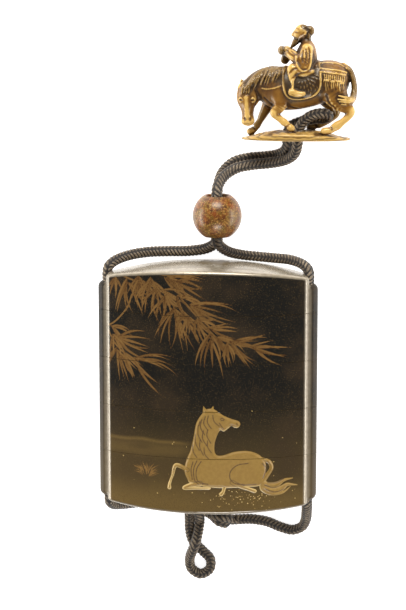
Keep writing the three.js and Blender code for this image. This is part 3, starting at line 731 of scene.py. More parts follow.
def bored(name, rings):
    """The loft of the rings as a piece, with both cord channels cut through its sides."""
    places = np.vstack(rings)
    places = places + np.array([0, 0, MID])
    triangles = grid_triangles(len(rings), len(rings[0]), True)
    places, triangles = weld(places, triangles)
    made = piece(name, places, triangles, LACQUER)
    around, beyond = 40, 5
    for side in (-1, 1):
        angle = np.linspace(0, 2 * np.pi, around, endpoint=False)
        x, z = side * CHANNEL_X + CHANNEL / 2 * np.cos(angle), MID + CHANNEL / 2 * np.sin(angle)
        ends = [np.column_stack([x, np.full(around, y), z]) for y in (FOOT - beyond, CROWN + beyond)]
        faces = [tuple(range(around)), tuple(range(2 * around - 1, around - 1, -1))]
        faces += [(i, i + around, (i + 1) % around + around, (i + 1) % around) for i in range(around)]
        cutter = piece("cutter", np.vstack(ends), faces, LACQUER)
        cut = made.modifiers.new("channel", "BOOLEAN")
        cut.operation, cut.solver, cut.object = "DIFFERENCE", "MANIFOLD", cutter
        bpy.context.view_layer.update()
        result = bpy.data.meshes.new_from_object(made.evaluated_get(bpy.context.evaluated_depsgraph_get()))
        made.modifiers.clear()
        old, made.data = made.data, result
        bpy.data.meshes.remove(old)
        bpy.data.objects.remove(cutter)
    made.data.name = name
    return made


SHARES = np.sin(np.radians(np.linspace(78, 0, 14)))  # of the section's depth, on the way to the ridge


def section_rings(level):
    """The rings of one piece of the stack, from the ridge inside its underside, out and up its wall, and
    in over its riser to the ridge of its compartment's floor. Level -1 is the lid."""
    is_lid, is_foot = level < 0, level == len(SEAMS) - 1
    top = CROWN if is_lid else SEAMS[level] - SEAM / 2
    bottom = FOOT if is_foot else SEAMS[level + 1] + SEAM / 2
    rings = []
    wide, deep = outside()
    if is_foot:
        rings += arched_end(wide, deep, foot_height, 0, -1, END_ROUND, SHARES)[::-1]
    else:
        x, z = outline(WALL_SIDE, WALL_FACE, 1.2)
        if is_lid:
            rings += arched_end(x, z, crown_height, -END_WALL, 1, END_WALL_ROUND, SHARES[1::3])[::-1]
        else:
            rings += [ring(x, bottom + RISER_ROOM, z * share) for share in (0, 1)]
        rings.append(ring(x, bottom, z))
    low = foot_height(wide, deep) + END_ROUND if is_foot else bottom
    high = crown_height(wide, deep) - END_ROUND if is_lid else top
    rings += outer_wall(low, high, 0.26 if is_lid else 0.21, not is_foot, not is_lid)
    if is_lid:
        return rings + arched_end(wide, deep, crown_height, 0, 1, END_ROUND, SHARES)
    mouth = top + RISER_HEIGHT
    x, z = outline(WALL_SIDE + RISER_GAP, WALL_FACE + RISER_GAP, 1.1)
    rings += [ring(x, top, z), ring(x, mouth - 0.3, z)]
    x, z = outline(WALL_SIDE + RISER_GAP + 0.3, WALL_FACE + RISER_GAP + 0.3, 1.1)
    rings.append(ring(x, mouth, z))
    x, z = outline(WALL_SIDE + RISER_GAP + RISER_WALL, WALL_FACE + RISER_GAP + RISER_WALL, 0.9)
    rings.append(ring(x, mouth, z))
    if is_foot:
        rings += arched_end(x, z, foot_height, END_WALL, -1, END_WALL_ROUND, SHARES[1::3])
    else:
        rings += [ring(x, bottom + RISER_ROOM + FLOOR, z * share) for share in (1, 0)]
    return rings


# The case's decoration: a horse at rest under hanging leaves in front, and more leaves on the back.

HORSE_BODY = [
    (-5, -28.6), (-6.3, -25), (-5.6, -21.4), (-4.4, -18.4), (-3.4, -14), (-2.6, -9.8), (-0.8, -6.8),
    (0.6, -5.4), (2.6, -5.3), (4.2, -6.3), (5.8, -7.4), (8.4, -8.5), (10.2, -9.1), (10.8, -10.2), (10, -11.2),
    (8.9, -11.1), (8.1, -10.6), (7.2, -11.3), (5.8, -12.3), (4.6, -12), (3.4, -14.6), (2.9, -17.2),
    (3.4, -19.6), (5.4, -19.9), (9, -18.8), (13, -18.6), (16.4, -19.9), (18.4, -22.6), (18.4, -26.4),
    (16.9, -29.6), (12, -30), (6, -30.2), (0.4, -29.9),
]
EARS = [
    [(-0.7, -7), (-0.5, -4.3), (0.9, -6)],
    [(1.5, -5.8), (2.6, -4.2), (2.9, -6.2)],
]
FORELEG = [
    (-5.4, -24.6, 1.3), (-8.9, -23.4, 1.3), (-10, -26.6, 0.85), (-10.9, -29.2, 0.85), (-11, -30.6, 1.25),
]
FOLDED_LEG = [
    (-1.5, -28.9, 1.7), (-4, -29.4, 1.5), (-6.4, -30.5, 1.15), (-2.6, -30.4, 0.9), (1.4, -30.4, 0.8),
]
HIND_LEG = [(8.4, -28.4, 1.4), (10.6, -29.6, 1.3), (13.2, -30.6, 1.1), (15.2, -31.4, 1.2)]
HOOF = [(6, -29.8, 1.1), (5.6, -31.4, 1), (5, -32.2, 1.3)]
TAIL_LOOP = [(17, -21.2, 1.1), (19.4, -22.2, 1.2), (20.2, -24.2, 1.2), (19, -26.4, 1.3), (17.6, -28.4, 1.6)]
TAIL_SWEEP = [
    [
        (17.3, -28.4, 1.5), (18.2, -30.4, 1.9), (20.6, -31.6, 2), (23.2, -31, 1.8), (25, -29.9, 1.1),
        (28, -30.3, 0.25),
    ],
    [(17.3, -28.4, 1.3), (19.2, -29.6, 1.7), (21.8, -29.6, 1.7), (24, -28.4, 1), (26.6, -28, 0.3)],
    [(17.1, -28.8, 1.2), (17.6, -31, 1.3), (20.4, -32.5, 1.1), (23.6, -32.3, 0.8), (26, -30.6, 0.2)],
]
CONTOURS = [
    [(-1.1, -21.8), (-2.4, -24), (-2.6, -26.6), (-1.7, -28.4), (1, -29)],
    [(-3.6, -22), (-4.2, -24.6), (-3.8, -27.6)],
    [(-2.4, -21.6), (-3.4, -24.4), (-3.1, -27.8), (-1.9, -29)],
    [(13.2, -22.4), (10, -22.9), (8, -24.6), (7.6, -26.8), (9, -28.6), (12.4, -29.2), (15.6, -29.1)],
    [(-0.9, -8.6), (-1.3, -11), (0, -13.4)], [(-2, -10.6), (-2, -13.4), (-0.8, -15.8)],
    [(-2.9, -13.4), (-2.8, -16), (-1.6, -18.4)], [(-3.7, -16.6), (-3.5, -18.8), (-2.4, -20.6)],
    [(0.2, -7.6), (-0.3, -9.8), (1, -12)], [(1.1, -7.4), (0.8, -9.4), (2, -11.4)],
    [(-0.4, -12), (-0.7, -14.4), (0.6, -16.8)], [(-1.4, -15), (-1.5, -17.4), (-0.4, -19.8)],
    [(0.9, -11.6), (0.7, -13.8), (1.9, -16)], [(-0.2, -17.4), (0, -19.4), (1.2, -21)],
    [(0.8, -15.2), (0.9, -17.2), (2, -19)], [(-1.4, -9), (-1.8, -10.6)],
    [(2.4, -7.2), (2.9, -9.2), (4.4, -10.6)], [(4.7, -8.4), (5.3, -8.1), (5.9, -8.5)],
    [(4.9, -8.8), (5.8, -8.8)], [(9.6, -9.8), (9.9, -10.2)], [(4.4, -9.6), (5.6, -11.4)],
    [(17.4, -22.6), (18.6, -24.4), (17.6, -27.4)],
    [(18.2, -29.6), (21, -30.6), (24.4, -29.4)], [(18.4, -30.9), (21.4, -31.9), (24, -31.2)],
    [(19, -28.9), (21.6, -29), (24, -27.9)],
]

# Where leaves spring from: x, y, the middle of their fan in degrees, its width, their number and length.
LEAVES = [
    (-27.8, 34.8, -96, 70, 4, 8), (-24.1, 34.4, -78, 84, 6, 12.6), (-21.4, 33.4, -40, 60, 4, 8.4),
    (-20.4, 35.4, -88, 80, 5, 9.6), (-16.4, 35.2, -88, 84, 6, 12), (-13.4, 35.6, -16, 44, 6, 15.4),
    (-9.4, 34.2, -26, 56, 5, 10.6), (-15, 31.7, -82, 84, 5, 10.6), (-13.4, 31, -34, 50, 4, 9),
    (-12.2, 29.6, -104, 70, 5, 10), (-9.6, 26.8, -88, 78, 7, 15.6), (-8.4, 24.6, -66, 60, 5, 11.4),
    (-8.6, 30, -40, 64, 5, 10.4), (-4.8, 27, -20, 54, 6, 15), (-5.4, 24, -96, 60, 4, 9),
    (-2.7, 22.8, -44, 84, 6, 10.4), (0.4, 19.8, -12, 50, 4, 10), (1.6, 18.2, -80, 80, 7, 13.6),
    (3.2, 17.6, -40, 60, 5, 10.4), (7.3, 15.8, -26, 84, 7, 12.6), (6.6, 15.6, -84, 50, 4, 8),
    (13.2, 14, -12, 56, 5, 12), (-30, 19.1, -36, 66, 4, 9), (-28.4, 15.2, -10, 50, 5, 14.4),
    (-27.6, 12.4, -80, 76, 7, 12.6), (-23.6, 9.6, -26, 70, 7, 15), (-25.6, 11, -52, 60, 5, 9.4),
    (-28.8, 16.4, -70, 60, 4, 8.4),
]
STEMS = [
    [
        (-26.6, 35), (-20.9, 33.2), (-15, 31.7), (-10, 28.2), (-5.5, 23.8), (-1.4, 20.6), (2.7, 17.4),
        (8.2, 15),
    ],
    [(8.2, 15), (13.7, 13.9)], [(-30.4, 18.6), (-27.6, 20.6), (-24, 25), (-22.6, 29)],
    [(-30.4, 17.4), (-27.6, 12.8), (-22.8, 8.8)],
]
BACK_LEAVES = [
    (-20, 34.6, -60, 70, 5, 11), (-12, 31, -40, 70, 5, 10), (-4, 26, -30, 80, 6, 11),
    (3, 20.4, -50, 90, 6, 10), (9, 15.6, -40, 80, 5, 9), (-26, 24, -60, 60, 4, 9),
]
BACK_STEMS = [[(-24, 36.6), (-12.6, 31.4), (-3.6, 25.6), (3.4, 20), (9.6, 15)]]


def line_distance(x, y, path, steps=6):
    """Distance to a curve through stations (x, y, width), less half the width there. Gives also the place
    along the curve, from 0 to 1."""
    ends = between([(*p, 0.0) if len(p) == 2 else p for p in path], steps)
    best, where = np.full(x.shape, 99.0), np.zeros(x.shape)
    for i in range(len(ends) - 1):
        a, b = ends[i], ends[i + 1]
        way = b[:2] - a[:2]
        t = np.clip(((x - a[0]) * way[0] + (y - a[1]) * way[1]) / (way @ way), 0, 1)
        d = np.hypot(x - a[0] - way[0] * t, y - a[1] - way[1] * t) - (a[2] + (b[2] - a[2]) * t) / 2
        where = np.where(d < best, (i + t) / (len(ends) - 1), where)
        best = np.minimum(best, d)
    return best, where


def shape_distance(x, y, points, steps=8):
    """Distance to a closed outline, negative inside it."""
    ends = between(list(points) + [points[0]], steps)
    best, inside = np.full(x.shape, 99.0), np.zeros(x.shape, bool)
    for a, b in zip(ends[:-1], ends[1:]):
        way = b - a
        t = np.clip(((x - a[0]) * way[0] + (y - a[1]) * way[1]) / max(way @ way, 1e-9), 0, 1)
        best = np.minimum(best, np.hypot(x - a[0] - way[0] * t, y - a[1] - way[1] * t))
        if a[1] != b[1]:
            inside ^= ((a[1] > y) != (b[1] > y)) & (x < a[0] + way[0] * (y - a[1]) / way[1])
    return np.where(inside, -best, best)


def leaves(x, y, fans, stems, seed):
    """Long pointed leaves, each laid over the last. Gives how far each place lies inside a leaf, and the
    tone of the leaf on top: darker along its edges and lighter to its tip."""
    rng = np.random.default_rng(seed)
    inside, tone = np.full(x.shape, -5.0), np.zeros(x.shape)
    for stem in stems:
        d, _ = line_distance(x, y, [(*p, 0.5) for p in stem])
        tone = np.where(-d > inside, 0.6, tone)
        inside = np.maximum(inside, -d)
    for u, v, heading, spread, count, length in fans:
        count = round(count * 1.25)
        lean = math.radians(heading)
        order = rng.permutation(count)
        for n in order:
            share = (n + 0.5) / count - 0.5
            turn = math.radians(heading + spread * share + rng.uniform(-7, 7))
            up = rng.uniform(0, 0.16) * length
            long = length * rng.uniform(0.72, 1.08) * (1 - 0.3 * abs(share))
            bend = rng.uniform(-0.08, 0.08) + 0.07 * math.copysign(1, share)
            wide = rng.uniform(0.34, 0.5)
            shade = rng.uniform(0.25, 0.65)
            c, s = math.cos(turn), math.sin(turn)
            foot_x, foot_y = u + up * math.cos(lean), v + up * math.sin(lean)
            near = (np.abs(x - foot_x) < long + 1) & (np.abs(y - foot_y) < long + 1)
            du, dv = x[near] - foot_x, y[near] - foot_y
            along, across = (du * c + dv * s) / long, dv * c - du * s
            t = np.clip(along, 0, 1)
            half = wide * np.sin(np.pi * t**0.62) ** 0.9 * (1 - 0.35 * t)
            d = half - np.abs(across - bend * long * 4 * t * (1 - t))
            d = np.where((along < 0) | (along > 1), -1.0, d)
            lit = shade + 0.5 * t**2 - 0.6 * smoothstep(0.13, 0.02, d)
            lit = lit + 0.08 * np.sign(across) * smoothstep(0, 0.2, d)
            tone[near] = np.where(d > 0, lit, tone[near])
            inside[near] = np.where(d > 0, np.maximum(d, 0.08), np.maximum(inside[near], d))
    return inside, tone


def horse_on(x, y):
    """How far each place lies inside the horse, its contour lines, and painted highlights along its lower
    edges.
    """
    body = -shape_distance(x, y, HORSE_BODY)
    for ear in EARS:
        body = np.maximum(body, -shape_distance(x, y, ear, 1))
    parts = [body]
    for path in [FORELEG, FOLDED_LEG, HIND_LEG, HOOF, TAIL_LOOP] + TAIL_SWEEP:
        parts.append(-line_distance(x, y, path)[0])
    inside = np.maximum.reduce(parts)
    lines = np.zeros(x.shape)
    for path in CONTOURS:
        lines = np.maximum(lines, smoothstep(0.24, 0.04, line_distance(x, y, path)[0]))
    for limb_inside in parts[1:4]:
        seam = smoothstep(0.2, 0.03, np.abs(limb_inside)) * smoothstep(0.15, 0.5, body)
        lines = np.maximum(lines, 0.8 * seam)
    low = np.zeros(x.shape)
    for part in parts:
        edge = smoothstep(0.34, 0.1, np.abs(part - 0.14))
        low = np.maximum(low, edge * (part > -0.1) * (np.abs(inside - part) < 0.02))
    # Painted highlight, kept to the edges along the underside, the foreleg and the muzzle, and fainter on the
    # tail's sweep.
    under = smoothstep(-27.4, -29, y) * 0.9
    leg = smoothstep(-6.6, -8, x) * 0.6
    muzzle = smoothstep(-10.4, -11, y) * smoothstep(3.8, 5, x) * smoothstep(-14, -12.6, y) * 0.8
    sweep = 1 - 0.7 * smoothstep(17, 19, x) * smoothstep(-26, -28, y)
    return inside, lines, low * np.maximum.reduce([under, leg, muzzle]) * sweep


def bands(x, y):
    """Drifts of mist on the left, and powder that thickens towards the foot."""
    left = smoothstep(-2, -9, x)
    wave = 0.25 * np.sin(0.23 * x) + 0.15 * np.sin(0.61 * x + 1)
    thin = np.exp(-(((y + 16.2 - wave) / 0.55) ** 2))
    broad = np.exp(-(((y + 19.4 + wave) / 1.5) ** 2)) + 0.6 * np.exp(-(((y + 17.6 - wave) / 0.9) ** 2))
    low = smoothstep(-27, -36, y) * 0.75 + 0.25 * smoothstep(-8, -30, y) * smoothstep(20, -10, x)
    return np.clip(left * (0.85 * thin + 0.5 * broad) + low, 0, 1)


def tuft(x, y):
    """A tuft of grass: short strokes that fan out of its foot."""
    rng = np.random.default_rng(5)
    inside = np.full(x.shape, -5.0)
    near = (np.abs(x + 18.2) < 6) & (np.abs(y + 25) < 6)
    for turn in np.radians(np.linspace(5, 175, 44)):
        long = rng.uniform(1.4, 4.6)
        foot = np.array([-18.2 + 1.6 * math.cos(turn), -27.6 + rng.uniform(0, 2.4)])
        tip = foot + long * np.array([0.8 * math.cos(turn), math.sin(turn) * 0.9])
        path = [(*foot, 0.16), (*((foot + tip) / 2 + (0, 0.15)), 0.18), (*tip, 0.06)]
        inside[near] = np.maximum(inside[near], -line_distance(x[near], y[near], path, 3)[0])
    return inside


def paint(made):
    """Stores on a piece what the lacquer reads, and raises the horse."""
    places = places_of(made.data)
    x, y, z = places.T
    z = z - MID
    size = len(x)
    values = {key: np.zeros(size) for key in ("mist", "flakes", "tone", "line", "light", "rim", "plain")}
    values["leaf"], values["horse"] = np.full(size, -5.0), np.full(size, -5.0)
    values["height"] = y * MM
    outer = np.abs(np.hypot(x, np.abs(z) + ARC_CENTRE) - ARC) < 0.03
    front, back = outer & (z > 0), outer & (z < 0)
    px, py = x[front], y[front]
    values["leaf"][front], values["tone"][front] = leaves(px, py, LEAVES, STEMS, 3)
    grass = tuft(px, py)
    values["tone"][front] = np.where(grass > values["leaf"][front], 0.85, values["tone"][front])
    values["leaf"][front] = np.maximum(values["leaf"][front], grass)
    values["mist"][front] = bands(px, py)
    speck = np.exp(-(((px - 12) / 9) ** 2) - ((py + 33.4) / 2.2) ** 2)
    values["flakes"][front] = 0.3 * speck + 0.006 * smoothstep(0, -30, py)
    inside, lines, light = horse_on(px, py)
    values["horse"][front], values["line"][front], values["light"][front] = inside, lines, light
    values["leaf"][back], values["tone"][back] = leaves(-x[back], y[back], BACK_LEAVES, BACK_STEMS, 8)
    values["mist"][back] = bands(-x[back] - 8, y[back] + 4)
    values["flakes"][back] = 0.2 * np.exp(-(((x[back] + 8) / 14) ** 2) - ((y[back] + 22) / 5) ** 2) + 0.02
    values["mist"][~outer] = 0.35
    crown = smoothstep(0.75, 0.45, crown_height(x, z) - y)
    foot = smoothstep(0.75, 0.45, y - foot_height(x, z))
    half = BODY_WIDTH / 2
    beyond = smoothstep(half - 1.5, half - 0.9, np.abs(x)) * smoothstep(1.2, 2, np.abs(z))
    beyond = beyond * smoothstep(half + 0.25, half + 0.05, np.abs(x))
    # A brown patch under the bead and a thin brown stripe across the crown, where the pale rim colour gives
    # way to less glossy, gold-misted lacquer.
    ragged = 0.16 * np.sin(1.1 * x) + 0.12 * np.sin(2.7 * x + 0.9 * z) + 0.1 * np.sin(5.3 * x - z)
    spot = smoothstep(1.1, 0.7, np.hypot((x - 2.3) / 6.8, (z + 1.5) / 5) + ragged)
    stripe = smoothstep(1.2, 0.6, np.abs(z - 5.6 + ragged) / 0.9) * smoothstep(19, 14, np.abs(x + 1))
    brown_patch = np.maximum(0.85 * spot, 0.4 * stripe) * crown * smoothstep(30, 34, y)
    # Partly the crown's pale metal, partly painted highlight on the rounded rims of crown and foot and on the
    # rounded sides.
    values["rim"] = np.clip(np.maximum.reduce([0.9 * crown, 0.6 * foot, 0.6 * beyond]), 0, 1)
    values["rim"] = values["rim"] * (1 - brown_patch)
    values["mist"] = np.maximum(values["mist"], 1.2 * brown_patch)
    values["plain"] = np.maximum(smoothstep(half + 0.02, half + 0.3, np.abs(x)), brown_patch)
    values["mist"] = np.maximum(values["mist"] - 0.3 * values["plain"], 0)
    rise_by = RELIEF * smoothstep(-0.06, 0.8, inside) - 0.03 * lines * smoothstep(0, 0.3, inside)
    out = np.column_stack([px, np.zeros(len(px)), z[front] + ARC_CENTRE]) / ARC
    places[front] += out * np.maximum(rise_by, 0)[:, None]
    made.data.vertices.foreach_set("co", (places * MM).astype(np.float32).ravel())
    for key, value in values.items():
        store(made.data, key, value)


SHARP = 38  # edges of the case that turn by more than this, in degrees, look sharp


def case():
    """The lid and the four cases under it."""
    names = ["lid", "case_first", "case_second", "case_third", "case_lowest"]
    for level, name in enumerate(names, -1):
        made = bored(name + "_lacquered", section_rings(level))
        paint(made)
        made.data.polygons.foreach_set("use_smooth", np.ones(len(made.data.polygons), bool))
        made.data.set_sharp_from_angle(angle=math.radians(SHARP))
        finish_piece(made, name)


case()

# ---- The bead ----


def bead():
    """A sphere turned about the bore, whose mouths are rounded. It lies on a small flat."""
    hole = BEAD_HOLE / 2
    start = math.asin((hole + 0.7) / (BEAD / 2))
    a = np.linspace(start, math.pi - start, 72)
    r, y = BEAD / 2 * np.sin(a), -BEAD / 2 * np.cos(a)
    b = np.linspace(0, math.pi / 2, 6)[1:]
    lip_r, lip_y = hole + 0.7 * (1 - np.sin(b)), 0.35 * (1 - np.cos(b))
    r = np.concatenate([lip_r[::-1], r, lip_r])
    y = np.concatenate([(y[0] + lip_y)[::-1], y, y[-1] - lip_y])
    angle = np.linspace(0, 2 * np.pi, 120, endpoint=False)
    x = r[:, None] * np.cos(angle) + BEAD_AT[0]
    z = np.maximum(r[:, None] * np.sin(angle) + BEAD_AT[2], 0)
    places = np.stack([x, np.broadcast_to(y[:, None] + BEAD_AT[1], x.shape), z], axis=-1)
    rows, columns = x.shape
    faces = grid_triangles(rows, columns, True)
    j = np.arange(columns)
    k, foot = (j + 1) % columns, (rows - 1) * columns
    inner = np.vstack([np.column_stack([foot + j, foot + k, k]), np.column_stack([foot + j, k, j])])
    made = piece("ojime_bead", places.reshape(-1, 3), np.vstack([faces, inner])[:, ::-1], BEAD_LACQUER)
    finish_piece(made, "bead")


bead()

# ---- The toggle ----
# A groom on a grazing horse, on a thin oval base. Its forms are worked out as one field of distances in
# the toggle's own frame: u along the horse from its head to its tail, v up, and w towards the viewer.

GRAIN = 0.225
FAR = 6.0
FIELD_LOW = np.array([-19.6, -0.8, -9.2])
FIELD_HIGH = np.array([21.0, 38.4, 9.4])
FIELD_SHAPE = np.ceil((FIELD_HIGH - FIELD_LOW) / GRAIN).astype(int) + 1
AXIS_U, AXIS_V, AXIS_W = (FIELD_LOW[k] + GRAIN * np.arange(FIELD_SHAPE[k]) for k in range(3))


def field_box(low, high):
    """The part of the field between two corners."""
    first = np.clip(np.floor((low - FIELD_LOW) / GRAIN).astype(int), 0, FIELD_SHAPE)
    last = np.clip(np.ceil((high - FIELD_LOW) / GRAIN).astype(int) + 1, 0, FIELD_SHAPE)
    return tuple(slice(a, b) for a, b in zip(first, last))


def smaller(a, b, soft):
    """The smaller of two distances. Where they differ by less than soft, the join is filled out by up to
    a quarter of soft, so that the two forms run into each other."""
    share = np.clip(soft - np.abs(a - b), 0, None) / soft
    return np.minimum(a, b) - share * share * soft / 4


def union(field, box, own, soft):
    field[box] = smaller(field[box], own, soft)


def carve(field, box, own, soft):
    field[box] = -smaller(-field[box], own, soft)


def egg_distance(x, y, z, a, b, c):
    """About the distance to an egg of half sizes a, b and c: k0 (k0 - 1) / k1, in which k0 is the length
    of the place over the half sizes, and k1 that of the place over their squares."""
    x, y, z = x / a, y / b, z / c
    k0 = np.sqrt(x * x + y * y + z * z)
    k1 = np.sqrt((x / a) ** 2 + (y / b) ** 2 + (z / c) ** 2)
    return k0 * (k0 - 1) / np.maximum(k1, 1e-6)


def limb(stations, steps=4, ripple=None, margin=1.5):
    """A rounded limb through stations (u, v, w, half thickness in the u-v plane, half thickness along w).
    ripple gives its relief from the angle round it and the place along it. Gives its box and distances."""
    line = between(stations, steps)
    grow = line[:, 3:].max() + margin
    box = field_box(line[:, :3].min(axis=0) - grow, line[:, :3].max(axis=0) + grow)
    start = np.array([part.start for part in box])
    own = np.full([part.stop - part.start for part in box], FAR, np.float32)
    for i in range(len(line) - 1):
        a, b = line[i], line[i + 1]
        way = b[:3] - a[:3]
        length = np.linalg.norm(way)
        way = way / length
        deep = np.array([0, 0, 1.0]) - way * way[2]
        deep /= np.linalg.norm(deep)
        flat = np.cross(deep, way)
        grow = max(a[3:].max(), b[3:].max()) + margin
        low, high = np.minimum(a[:3], b[:3]) - grow, np.maximum(a[:3], b[:3]) + grow
        part = field_box(low, high)
        u = AXIS_U[part[0], None, None] - a[0]
        v = AXIS_V[None, part[1], None] - a[1]
        w = AXIS_W[None, None, part[2]] - a[2]
        along = u * way[0] + v * way[1] + w * way[2]
        t = np.clip(along / length, 0, 1)
        x = u * flat[0] + v * flat[1] + w * flat[2]
        y = u * deep[0] + v * deep[1] + w * deep[2]
        half_a, half_b = a[3] + (b[3] - a[3]) * t, a[4] + (b[4] - a[4]) * t
        d = egg_distance(x, y, along - t * length, half_a, half_b, np.minimum(half_a, half_b))
        if ripple:
            d = d - ripple(np.arctan2(y / half_b, x / half_a), (i + t) / (len(line) - 1))
        inner = tuple(slice(p.start - s, p.stop - s) for p, s in zip(part, start))
        own[inner] = np.minimum(own[inner], d)
    return box, own


def egg(centre, half, turn=0.0, margin=1.5):
    """An egg of the given half sizes, turned about w by turn degrees."""
    centre, half = np.array(centre, float), np.array(half, float)
    grow = half.max() + margin
    box = field_box(centre - grow, centre + grow)
    u = AXIS_U[box[0], None, None] - centre[0]
    v = AXIS_V[None, box[1], None] - centre[1]
    w = AXIS_W[None, None, box[2]] - centre[2]
    c, s = math.cos(math.radians(turn)), math.sin(math.radians(turn))
    return box, egg_distance(u * c + v * s, v * c - u * s, w + 0 * u, *half)


def skin_at(field, u, v, side):
    """The w of the surface over each place (u, v), met from the near side (1) or the far side (-1)."""
    i = np.clip(np.rint((u - FIELD_LOW[0]) / GRAIN).astype(int), 0, FIELD_SHAPE[0] - 1)
    j = np.clip(np.rint((v - FIELD_LOW[1]) / GRAIN).astype(int), 0, FIELD_SHAPE[1] - 1)
    columns = field[i, j][:, ::-side]
    axis = AXIS_W[::-side]
    inside = columns < 0
    k = np.clip(np.argmax(inside, axis=1), 1, None)
    n = np.arange(len(k))
    outer, inner = columns[n, k - 1], columns[n, k]
    share = np.clip(outer / np.maximum(outer - inner, 1e-6), 0, 1)
    w = axis[k - 1] + (axis[k] - axis[k - 1]) * share
    return np.where(inside.any(axis=1), w, np.nan)


def stroke(field, path, width, side=1, height=None, cut=False, soft=0.25, sink=0.0):
    """Lays a line (u, v) or a tapering one (u, v, share of the width) on the surface: raised, or cut in."""
    line = np.array(path, float)
    if line.shape[1] == 2:
        line = np.column_stack([line, np.ones(len(line))])
    line = between(line, 4)
    w = skin_at(field, line[:, 0], line[:, 1], side)
    fine = ~np.isnan(w)
    if fine.sum() < 2:
        return
    line, w = line[fine], w[fine]
    half = np.maximum(width / 2 * line[:, 2], 0.06)
    tall = half if height is None else np.maximum(height * line[:, 2], 0.06)
    own = limb(np.column_stack([line[:, :2], w - side * sink, half, tall]), 1, margin=0.6)
    (carve if cut else union)(field, *own, soft)


def both_sides(field, path, width, **settings):
    for side in (1, -1):
        stroke(field, path, width, side, **settings)


def outline_distance(points, steps=8):
    """Over the whole of (u, v), the distance to a closed outline, negative inside it."""
    ends = between(list(points) + [points[0]], steps)
    a, b = ends[:-1], ends[1:]
    u, v = AXIS_U[:, None, None], AXIS_V[None, :, None]
    way = b - a
    t = np.clip(((u - a[:, 0]) * way[:, 0] + (v - a[:, 1]) * way[:, 1]) / (way**2).sum(axis=1), 0, 1)
    d = np.hypot(u - a[:, 0] - way[:, 0] * t, v - a[:, 1] - way[:, 1] * t).min(axis=2)
    crosses = (a[:, 1] > v) != (b[:, 1] > v)
    at = a[:, 0] + way[:, 0] * (v - a[:, 1]) / np.where(way[:, 1] == 0, 1e-9, way[:, 1])
    inside = (crosses & (u < at)).sum(axis=2) % 2 == 1
    return np.where(inside, -d, d)


def blurred(field, reach):
    """The field averaged over a cube of about reach in every direction, twice over."""
    n = max(1, round(reach / GRAIN))
    out = field.astype(np.float32)
    for _ in range(2):
        for axis in range(3):
            padded = np.pad(out, [(n + 1, n) if k == axis else (0, 0) for k in range(3)], mode="edge")
            sums = np.cumsum(padded, axis=axis, dtype=np.float64)
            upper = np.take(sums, np.arange(2 * n + 1, sums.shape[axis]), axis=axis)
            lower = np.take(sums, np.arange(0, sums.shape[axis] - 2 * n - 1), axis=axis)
            out = ((upper - lower) / (2 * n + 1)).astype(np.float32)
    return out


def sampled(field, places):
    """The field's values at places in the toggle's frame."""
    at = np.clip((places - FIELD_LOW) / GRAIN, 0, FIELD_SHAPE - 1.001)
    first = at.astype(int)
    share = at - first
    value = 0
    for corner in np.ndindex(2, 2, 2):
        part = np.where(np.array(corner) == 1, share, 1 - share).prod(axis=1)
        value = value + part * field[tuple((first + corner).T)]
    return value


BARREL = [
    (-9.2, 16.4, 0, 4.4, 3.9), (-5.5, 16.2, 0, 6.3, 5.2), (-1, 16.4, 0, 6.6, 5.7), (4, 17.2, 0, 6.4, 5.9),
    (8.4, 18.8, 0, 6.3, 5.6), (11.2, 19.1, 0, 6.1, 5.2), (12.8, 18.8, 0, 5, 3.7),
]
NECK = [
    (-5, 17.4, 0, 5.6, 4.2), (-9, 18.2, 0.2, 4.9, 3.3), (-12.4, 17.6, 0.6, 3.7, 2.6),
    (-15, 16.2, 0.9, 2.5, 2.2),
]
HEAD = [
    (-15.9, 16.4, 1, 2.4, 2.1), (-15.4, 14.4, 1.3, 2.9, 2.5), (-15.2, 12.4, 1.6, 2.8, 2.4),
    (-15, 10.2, 1.9, 2.1, 2), (-14.9, 8.2, 2.2, 1.8, 1.7), (-14.8, 6.8, 2.4, 2, 1.7),
]
NEAR_FORELEG = [
    (-4.2, 14.6, 3, 3, 2.2), (-4.7, 11.8, 3.9, 2.2, 1.8), (-5.8, 9.9, 4.3, 1.6, 1.5),
    (-6.3, 9, 4.4, 1.5, 1.45),
    (-5.6, 8, 4.5, 1.1, 1.1), (-4.4, 7, 4.5, 1, 1), (-3.4, 6.2, 4.5, 1.15, 1.15),
    (-2.6, 5.6, 4.5, 0.95, 1.05),
]
FAR_FORELEG = [
    (-8, 12.6, -3, 2.5, 1.8), (-9.6, 9.6, -3.5, 1.6, 1.5), (-10.6, 7.7, -3.7, 1.3, 1.3),
    (-11.5, 5.9, -3.7, 1, 1.05),
    (-12.4, 4.5, -3.7, 1.15, 1.15), (-13, 3.8, -3.7, 0.95, 1),
]
NEAR_HIND_LEG = [
    (11.2, 16.4, 2.8, 4.6, 2.9), (13.6, 12.8, 3.6, 3.1, 2.1), (16, 10.8, 4, 1.9, 1.6),
    (16.9, 9.5, 4.2, 1.5, 1.4),
    (16.2, 8, 4.3, 1.15, 1.15), (14.6, 6.5, 4.3, 1.05, 1.1), (13, 5.3, 4.3, 1.35, 1.25),
    (11.7, 4.5, 4.3, 1.1, 1.1),
]
FAR_HIND_LEG = [
    (9.8, 13.4, -2.8, 3.2, 2.3), (11.6, 10.4, -3.7, 2.1, 1.7), (12, 8.5, -4.1, 1.5, 1.35),
    (10.6, 6.9, -4.3, 1.15, 1.1),
    (8.6, 5.7, -4.3, 1.15, 1.1), (7, 5, -4.3, 1.2, 1.2),
]
